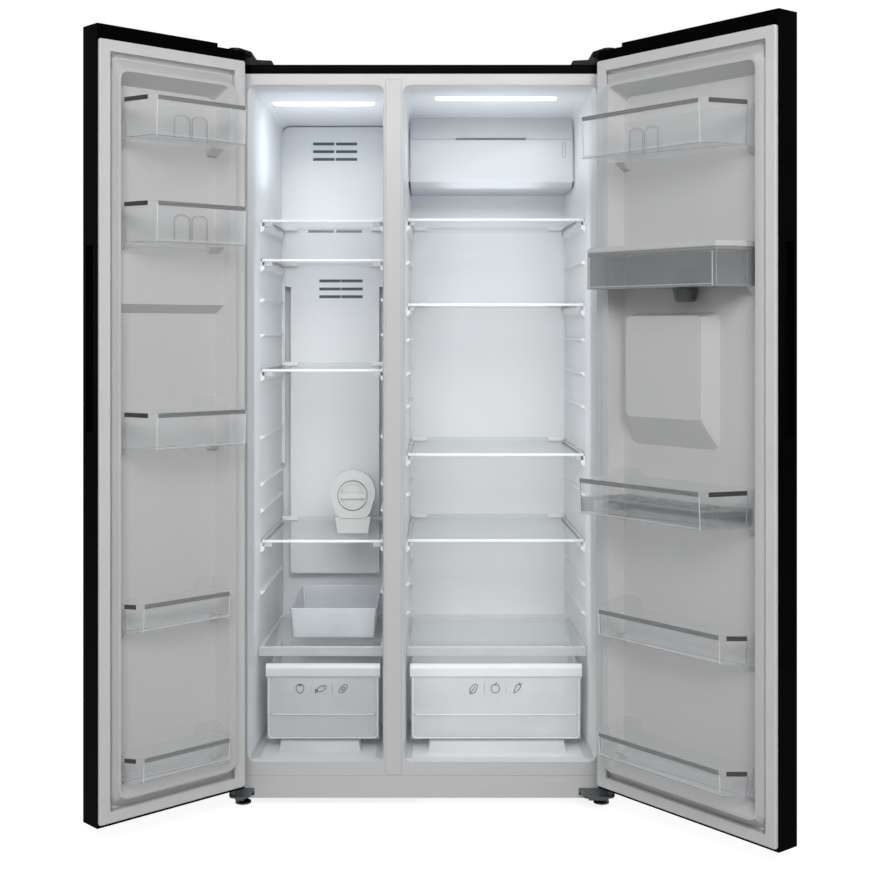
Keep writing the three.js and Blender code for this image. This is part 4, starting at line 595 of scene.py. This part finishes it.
def duct_details():
    """Dark line along the crease across the air duct's face at its slot's height, painted shade; a dark
    sheet behind the slot, painted shade of its hollow; and a small raised grip near the right end."""
    low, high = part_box("fridge_air_duct")
    middle, height = (low.x + high.x) / 2, high.z - low.z
    crease_z, grip_z = low.z + 0.679 * height, low.z + 0.53 * height
    crease, shade_sheet, grip = bmesh.new(), bmesh.new(), bmesh.new()
    path = [(high.x - 3 * MM, low.y, crease_z), (low.x + 3 * MM, low.y, crease_z)]
    sweep(crease, path, rectangle(-0.5, 0.12, -0.45, 0.45))
    piece("duct_crease_shade", "cabinet", crease, SHADE_AND_LINE_GREY, "liner_white")
    slot_x, slot_z = (middle - 95 * MM, middle + 91 * MM), (crease_z - 6 * MM, crease_z + 6 * MM)
    slab(shade_sheet, slot_x, (low.y + 4 * MM, low.y + 5 * MM), slot_z)
    piece("duct_slot_shade_sheet", "cabinet", shade_sheet, SHADE_AND_LINE_GREY, "dark_steel")
    grip_x, radius, half_straight = high.x - 22 * MM, 4 * MM, 16 * MM
    path = []
    for angle in round_angles(24):
        rise = math.copysign(half_straight, math.sin(angle)) + radius * math.sin(angle)
        path.append((grip_x + radius * math.cos(angle), low.y, grip_z + rise))
    sweep(grip, path, rectangle(-0.5, 0.5, -0.2, 0.4), FRONT, closed=True)
    piece("duct_grip", "cabinet", grip, SHADE_AND_LINE_GREY, "liner_white")


def surround(node, name, behind, reach, ends_over):
    """Strip that closes the gap between a panel's sides and top and the liner. In millimetres: how far
    it stands behind the panel's face, how far out it reaches, and how far over the panel's foot it ends."""
    low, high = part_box(node)
    corner, y, foot = 16 * MM, low.y + behind * MM, low.z + ends_over * MM
    path = [(low.x, y, foot)]
    for x, start in ((low.x + corner, math.pi), (high.x - corner, math.pi / 2)):
        for step in range(7):
            angle = start - math.pi / 2 * step / 6
            path.append((x + corner * math.cos(angle), y, high.z - corner + corner * math.sin(angle)))
    path.append((high.x, y, foot))
    strip = bmesh.new()
    sweep(strip, path, rectangle(-reach, 1.5, -8, -1), FRONT)
    piece(name, "cabinet", strip, LINER_WHITE, "liner_white")


def vent_details():
    """A dark teal sheet behind the freezer rear cover's louvres, painted shade of the hollow behind them,
    and bridges across the middle of three of them."""
    low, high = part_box("freezer_rear_cover")
    face, middle = low.y + 3 * MM, (low.x + high.x) / 2
    shelf_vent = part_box("freezer_shelf_1")[0].z + 3 * MM
    lower_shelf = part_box("freezer_shelf_2")[0].z
    shade_sheet, bridges = bmesh.new(), bmesh.new()
    for left, right, foot, top in (
        (-72, 72, high.z - 90 * MM, high.z - 26 * MM),
        (-82, 82, shelf_vent - 10 * MM, shelf_vent + 10 * MM),
        (-50, 82, lower_shelf - 90 * MM, lower_shelf - 20 * MM),
    ):
        slab(shade_sheet, (middle + left * MM, middle + right * MM), (face + 5 * MM, face + 6 * MM), (foot, top))
    piece("vent_shade_sheet", "cabinet", shade_sheet, VENT_SHADE_TEAL, "dark_steel")
    bridge_x, bridge_y = (middle - 2.5 * MM, middle + 2.5 * MM), (face + 0.3 * MM, face + 2 * MM)
    for z in (high.z - 37 * MM, high.z - 58 * MM, shelf_vent):
        slab(bridges, bridge_x, bridge_y, (z - 6 * MM, z + 6 * MM))
    piece("vent_bridges", "cabinet", bridges, LINER_WHITE, "liner_white")


def shade_platform(name):
    """Painted shade: a darker white for the front of a liner's raised floor, under the drawer."""
    lip, foot, top = 9 * MM, 5 * MM, 28 * MM
    low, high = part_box(name)
    front_low, front_high = (low.x, low.y + lip, low.z + foot), (high.x, high.y, low.z + top)
    finish_in_box(name, PAINTED_SHADE_WHITE, front_low, front_high)


duct_details()
surround("fridge_air_duct", "duct_surround", behind=15, reach=7, ends_over=18)
surround("freezer_rear_cover", "rear_cover_surround", behind=4, reach=9, ends_over=300)
vent_details()
for name in ("freezer_liner", "fridge_liner"):
    shade_platform(name)


# ---------------------------------------------------------------- the doors' own directions

def opened(door):
    """Matrix from a door's closed place to where it stands at rest."""
    joint = next(j for j in frame["joints"] if j["child"] == door)
    turn = Matrix.Rotation(math.radians(-joint["range_deg"][0]), 4, Vector(joint["axis"]))
    pivot = Matrix.Translation(Vector(joint["pos_m"]))
    return pivot @ turn @ pivot.inverted()


OPENED = {door: opened(door) for door in ("left_door", "right_door")}
FREE_SIDE = {"left_door": 1, "right_door": -1}  # the sign of X at each closed door's free edge


def door_of(node):
    return frame["nodes"][node]["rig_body"]


def closed_corners(node):
    """A door node's corners with its door closed."""
    back = OPENED[door_of(node)].inverted()
    return np.array([back @ v.co for v in frame["nodes"][node].data.vertices])


def door_piece(name, door, mesh, finish, slot, radius=0.0):
    """Makes a piece, drawn with its door closed, that rides on the door."""
    piece(name, door, mesh, finish, slot, radius, OPENED[door])


# ---------------------------------------------------------------- door bins

TRIM_HEIGHT = 10  # millimetres below the rim that its metal strips cover


def outer_line(points):
    """The side of a flat cloud of points that faces +Y, as a list of its corners in order of x."""
    line = []
    for point in sorted(map(tuple, points)):
        while len(line) > 1:
            (ax, ay), (bx, by) = line[-2], line[-1]
            if (bx - ax) * (point[1] - ay) - (by - ay) * (point[0] - ax) < 0:
                break
            line.pop()
        line.append(point)
    return line


def rim_line(node):
    """The outer line of a bin's rim in the closed door's plan, and the rim's height."""
    front_zone, level = 12 * MM, 0.2 * MM
    points = closed_corners(node)
    rim = points[points[:, 1] > points[:, 1].max() - front_zone][:, 2].max()
    return outer_line(points[abs(points[:, 2] - rim) < level][:, :2]), rim


def runs(line):
    """The straight runs of a line as (start, end), the longest first."""
    return sorted(zip(line, line[1:]), key=lambda run: -math.dist(*run))


def bin_trim(node):
    """Two metal strips on a bin's rim, one along its front and one at its slanted free end. The end strip is
    the same metal made darker, a painted dark reflection.
    """
    door, inset = door_of(node), 1.5 * MM
    line, rim = rim_line(node)
    front, *others = runs(line)
    middle = (front[0][0] + front[1][0]) / 2
    slant = next(run for run in others if FREE_SIDE[door] * ((run[0][0] + run[1][0]) / 2 - middle) > 0)
    for (start, end), part, finish in ((front, "front", ALUMINIUM), (slant, "end", PAINTED_DARK_TRIM)):
        start, end = Vector((*start, rim)), Vector((*end, rim))
        along = (start - end).normalized()
        outward = 1 if along.cross(Vector(UP)).y > 0 else -1
        inner, outer = sorted((outward * 0.1, outward * 0.9))
        strip = bmesh.new()
        section = rectangle(inner, outer, -TRIM_HEIGHT, -0.4)
        sweep(strip, [end + along * inset, start - along * inset], section)
        door_piece(f"{node}_{part}_trim", door, strip, finish, "steel", 0.3)


def bin_arches(node):
    """Two arches raised on the back wall of a bin that has no tab above its rim."""
    door, wall = door_of(node), 2.6 * MM
    free = FREE_SIDE[door]
    first, spacing, half, lift, shoulder = 34 * MM, 46 * MM, 20 * MM, 14 * MM, 10 * MM
    points = closed_corners(node)
    back = points[:, 1].min() + wall
    foot, crown = points[:, 2].min() + lift, points[:, 2].max() - 16 * MM
    hinge_end = (points[points[:, 1] < back][:, 0] * free).min() * free
    arches = bmesh.new()
    for k in range(2):
        centre = hinge_end + free * (first + spacing * k)
        path = [(centre - half, back, foot)]
        for step in range(9):
            angle = math.pi * (1 - step / 8)
            height = crown - shoulder + shoulder * math.sin(angle)
            path.append((centre + half * math.cos(angle), back, height))
        path.append((centre + half, back, foot))
        sweep(arches, path, rectangle(-1.2, 1.2, 0, 0.6), BACK)
    door_piece(f"{node}_arches", door, arches, CLEAR_RIDGE, "clear_plastic")


def bin_edges(node):
    """Lines where a clear bin's walls meet, drawn in colour: painted highlights up its front corners and
    over the floor, painted shade lines up its back corners and round its foot."""
    door, level = door_of(node), 0.3 * MM
    points = closed_corners(node)
    floor = points[:, 2].min()
    head, rim = rim_line(node)
    wall_top = rim - TRIM_HEIGHT * MM
    foot = outer_line(points[points[:, 2] < floor + level][:, :2])
    low_front, high_front = runs(foot)[0], runs(head)[0]
    dark, light = bmesh.new(), bmesh.new()
    sweep(dark, [(*point, floor) for point in foot], rectangle(-0.2, 1.0, 0, 1.5))
    back_edge = [(*foot[k], floor + 1 * MM) for k in (0, -1)]
    sweep(dark, back_edge, rectangle(-0.6, 0.6, 0, 1.0))
    sweep(light, [(*point, floor + 4 * MM) for point in low_front], rectangle(-0.1, 1.0, 0, 1.4))
    for below, above in zip(low_front, high_front):
        sweep(light, [(*below, floor), (*above, wall_top)], rectangle(-1.2, 1.2, -0.6, 0.6), BACK)
    for k in (0, -1):
        sweep(dark, [(*foot[k], floor), (*head[k], wall_top)], rectangle(-0.7, 0.7, -0.7, 0.7), BACK)
    door_piece(f"{node}_dark_edges", door, dark, CLEAR_EDGE, "clear_plastic")
    door_piece(f"{node}_light_edges", door, light, CLEAR_PAINTED_HIGHLIGHT, "clear_plastic")


DOOR_BINS = [f"left_bin_{k}" for k in range(1, 6)]
DOOR_BINS += ["right_bin_1", "egg_bin", "right_bin_3", "right_bin_4"]
for name in DOOR_BINS:
    bin_trim(name)
for name in (*DOOR_BINS, "water_tank"):
    bin_edges(name)
for name in ("left_bin_1", "left_bin_2", "right_bin_1"):
    bin_arches(name)


# ---------------------------------------------------------------- gaskets

def gasket_shade_line(door):
    """Thin dark line, painted shade in the gap where a door's gasket meets its liner, with a moulded block
    at each corner.
    """
    block, depth = 3 * MM, 2 * MM
    points = closed_corners(f"{door}_gasket")
    x, y, z = points.T
    middle_x, middle_z = (x.min() + x.max()) / 2, (z.min() + z.max()) / 2
    left, right = x[x < middle_x].max(), x[x > middle_x].min()
    bottom, top = z[z < middle_z].max(), z[z > middle_z].min()
    line_y = y.max() - 3 * MM
    path = [(left, line_y, bottom), (left, line_y, top), (right, line_y, top), (right, line_y, bottom)]
    line = bmesh.new()
    sweep(line, path, rectangle(-0.4, 1.0, -0.6, 0.4), BACK, closed=True)
    for end_x, end_y, end_z in path:
        block_x, block_z = (end_x - block, end_x + block), (end_z - block, end_z + block)
        slab(line, block_x, (end_y, end_y + depth), block_z)
    door_piece(f"{door}_gasket_line", door, line, SHADE_AND_LINE_GREY, "dark_steel")


for name in ("left_door", "right_door"):
    gasket_shade_line(name)


# ---------------------------------------------------------------- dispenser

def open_mouth(name):
    """Opens a door recess, inside its rim, through the flange plate that closes its mouth."""
    rim, radius, reach_in, length = 14.5 * MM, 8 * MM, 5 * MM, 8 * MM
    points = closed_corners(name)
    low, high = points.min(axis=0), points.max(axis=0)
    group, source, result = geometry_group(f"{name}_mouth")

    def shape(kind, inputs, **properties):
        return add_node(group, kind, inputs, **properties).outputs[0]

    size = {"Width": high[0] - low[0] - 2 * rim, "Height": high[2] - low[2] - 2 * rim}
    outline = shape("GeometryNodeCurvePrimitiveQuadrilateral", size)
    outline = shape("GeometryNodeFilletCurve", {"Curve": outline, "Count": 6, "Radius": radius}, mode="POLY")
    face = shape("GeometryNodeFillCurve", {"Curve": outline}, mode="NGONS")
    raised = shape("GeometryNodeExtrudeMesh", {"Mesh": face, "Offset Scale": length})
    block = shape("GeometryNodeJoinGeometry", {"Geometry": raised})
    group.links.new(shape("GeometryNodeFlipFaces", {"Mesh": face}), block.node.inputs[0])
    block = shape("GeometryNodeMergeByDistance", {"Geometry": block})
    back = Matrix.Translation(((low[0] + high[0]) / 2, low[1] + reach_in, (low[2] + high[2]) / 2))
    place = OPENED[door_of(name)] @ back @ Matrix.Rotation(math.pi / 2, 4, "X")
    turned = {"Geometry": block, "Translation": place.to_translation(), "Rotation": place.to_euler()}
    cutter = shape("GeometryNodeTransform", turned)
    cut = shape("GeometryNodeMeshBoolean", {"Mesh 1": source, "Mesh 2": cutter}, operation="DIFFERENCE")
    group.links.new(cut, result)
    frame["nodes"][name].modifiers.new("mouth", "NODES").node_group = group


open_mouth("dispenser_niche")


# ---------------------------------------------------------------- fastenings

def back_screws(name, places):
    mesh = bmesh.new()
    for place in places:
        screw(mesh, place, BACK, 3.5)
    piece(name, "cabinet", mesh, SCREW, "steel")


def between(first, last, count):
    """Evenly spaced values, both ends included."""
    return [first + (last - first) * k / (count - 1) for k in range(count)]


def panel_screws():
    """Screws down the back panel's sides and along its top, all but flush with it."""
    inset, sunk, end_gap, top_gap = 9 * MM, 1.6 * MM, 50 * MM, 160 * MM
    low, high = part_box("back_panel")
    y = high.y - sunk
    sides, rows = (low.x + inset, high.x - inset), between(low.z + end_gap, high.z - end_gap, 7)
    places = [(x, y, z) for x in sides for z in rows]
    places += [(x, y, high.z - inset) for x in between(low.x + top_gap, high.x - top_gap, 4)]
    back_screws("back_panel_screws", places)


def cover_screws():
    """Screws along the foot and the top of the compressor cover."""
    inset, end_gap = 9 * MM, 20 * MM
    low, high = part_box("compressor_cover")
    columns, rows = between(low.x + end_gap, high.x - end_gap, 5), (low.z + inset, high.z - inset)
    back_screws("compressor_cover_screws", [(x, high.y, z) for x in columns for z in rows])


panel_screws()
cover_screws()


# ---------------------------------------------------------------- camera and room

def photo_camera():
    """The photograph's camera, level and in front of the cabinet."""
    lens, shift, distance, aside, height = 57.39, -0.122, 3.2524, 0.0301, 1.12165
    low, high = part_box("outer_cabinet")
    data = bpy.data.cameras.new("photo")
    data.lens = lens
    data.shift_y = shift
    camera = bpy.data.objects.new("photo", data)
    bpy.context.scene.collection.objects.link(camera)
    camera.location = ((low.x + high.x) / 2 + aside, low.y - distance, height)
    camera.rotation_euler = (math.radians(90), 0, 0)
    bpy.context.scene.camera = camera


def studio_world():
    """An even pale room, which camera and transmission rays see as white."""
    ambient = 0.3
    world = bpy.data.worlds.new("studio")
    world.use_nodes = True
    tree = world.node_tree
    tree.nodes.clear()
    rays = add_node(tree, "ShaderNodeLightPath").outputs
    kinds = {0: rays["Is Camera Ray"], 1: rays["Is Transmission Ray"]}
    seen = add_node(tree, "ShaderNodeMath", kinds, operation="MAXIMUM").outputs[0]
    soft_light = {"Color": (0.97, 0.985, 1.0, 1), "Strength": ambient}
    soft = add_node(tree, "ShaderNodeBackground", soft_light).outputs[0]
    white = add_node(tree, "ShaderNodeBackground", {"Color": (1, 1, 1, 1)}).outputs[0]
    mix = add_node(tree, "ShaderNodeMixShader", {"Fac": seen, 1: soft, 2: white}).outputs[0]
    add_node(tree, "ShaderNodeOutputWorld", {"Surface": mix})
    bpy.context.scene.world = world


def studio_floor():
    """A pale floor that the camera sees as white, less the object's shadow."""
    reach, drop, shown = 30, 0.2 * MM, 0.85
    mesh = bpy.data.meshes.new("floor")
    rim = [(-reach, -reach, 0), (reach, -reach, 0), (reach, reach, 0), (-reach, reach, 0)]
    mesh.from_pydata(rim, [], [(0, 1, 2, 3)])
    floor = bpy.data.objects.new("floor", mesh)
    floor.location.z = -drop
    bpy.context.scene.collection.objects.link(floor)
    finish = Finish("floor", Roughness=0.7, Specular_IOR_Level=0.2).vary((0.55, 0.55, 0.55), 0.01, 1.5)
    rays = finish.node("ShaderNodeLightPath").outputs["Is Camera Ray"]
    finish.glow((1, 1, 1), 0).feed("Emission Strength", finish.ramp(rays, 0, shown, 0, 1))
    mesh.materials.append(finish.material)


# ---------------------------------------------------------------- lamps

LED_TINT = (0.86, 0.93, 1.0)
MOUTH_TINT = (0.97, 0.985, 1.0)


def area_lamp(name, place, target, size, power, tint=(1, 1, 1), seen_in_gloss=True):
    """A rectangular soft lamp that the camera doesn't see, its size as (width, depth)."""
    data = bpy.data.lights.new(name, "AREA")
    data.shape = "RECTANGLE"
    data.size, data.size_y = size
    data.energy = power
    data.color = tint
    lamp = bpy.data.objects.new(name, data)
    bpy.context.scene.collection.objects.link(lamp)
    lamp.location = place
    lamp.rotation_mode = "QUATERNION"
    lamp.rotation_quaternion = (Vector(target) - Vector(place)).to_track_quat("-Z", "Y")
    lamp.visible_camera = False
    lamp.visible_glossy = seen_in_gloss


def room_lamp(node, power):
    """The light that a compartment's lens gives out, downward and a little to the back."""
    low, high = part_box(node)
    share, depth, lean = 0.65, 0.03, 0.15
    x, y = (low.x + high.x) / 2, (low.y + high.y) / 2
    place, target = (x, y, low.z - 4 * MM), (x, y + lean, low.z - 1)
    area_lamp(f"{node}_glow", place, target, (share * (high.x - low.x), depth), power, LED_TINT, False)


def room_bounce(node, power):
    """Light thrown back up at a compartment's ceiling."""
    low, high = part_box(node)
    share, depth, drop = 0.6, 0.12, 0.22
    x, y = (low.x + high.x) / 2, (low.y + high.y) / 2
    size = (share * (high.x - low.x), depth)
    area_lamp(f"{node}_bounce", (x, y, low.z - drop), (x, y, low.z), size, power, LED_TINT, False)


def room_fill(lower, upper, power):
    """Soft light from a compartment's mouth towards its back, from a node up to another."""
    narrower, taller, lowered, mouth, back = 0.04, 0.2, 0.12, -0.05, 0.5
    low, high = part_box(lower)
    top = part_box(upper)[1].z
    x, z = (low.x + high.x) / 2, (low.z + top) / 2 - lowered
    size = (high.x - low.x - narrower, top - low.z + taller)
    area_lamp(f"{lower}_fill", (x, mouth, z), (x, back, z), size, power, MOUTH_TINT, False)


def shade_fill(node, shelf, power):
    """Light thrown up from a shelf to the underside of a piece over it and to the wall behind."""
    low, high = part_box(node)
    share, depth, lift = 0.6, 0.1, 0.04
    x, z = (low.x + high.x) / 2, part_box(shelf)[1].z + lift
    size = (share * (high.x - low.x), depth)
    area_lamp(f"{node}_fill", (x, low.y, z), (x, high.y, low.z), size, power, LED_TINT, False)


photo_camera()
studio_world()
studio_floor()
area_lamp("softbox_front", (0.1, -4.1, 3.0), (0, 0, 1.3), (2.4, 1.6), 112)
area_lamp("softbox_left", (-3.2, -3.2, 2.6), (0, 0, 1.0), (1.6, 1.6), 8)
area_lamp("softbox_right", (3.2, -3.2, 2.6), (0, 0, 1.0), (1.6, 1.6), 12)
room_lamp("freezer_light", 0.18)
room_lamp("fridge_light", 0.14)
room_bounce("freezer_light", 0.28)
room_bounce("fridge_light", 0.28)
room_fill("freezer_shelf_1", "freezer_light", 0.12)
room_fill("fridge_shelf_1", "fridge_light", 0.12)
shade_fill("fridge_air_duct", "fridge_shelf_1", 0.1)
room_fill("freezer_shelf_4", "freezer_shelf_2", 0.5)
room_fill("fridge_shelf_4", "fridge_shelf_1", 0.78)
room_fill("crisper_drawer", "crisper_cover", 0.15)
bpy.context.scene.view_settings.view_transform = "Standard"
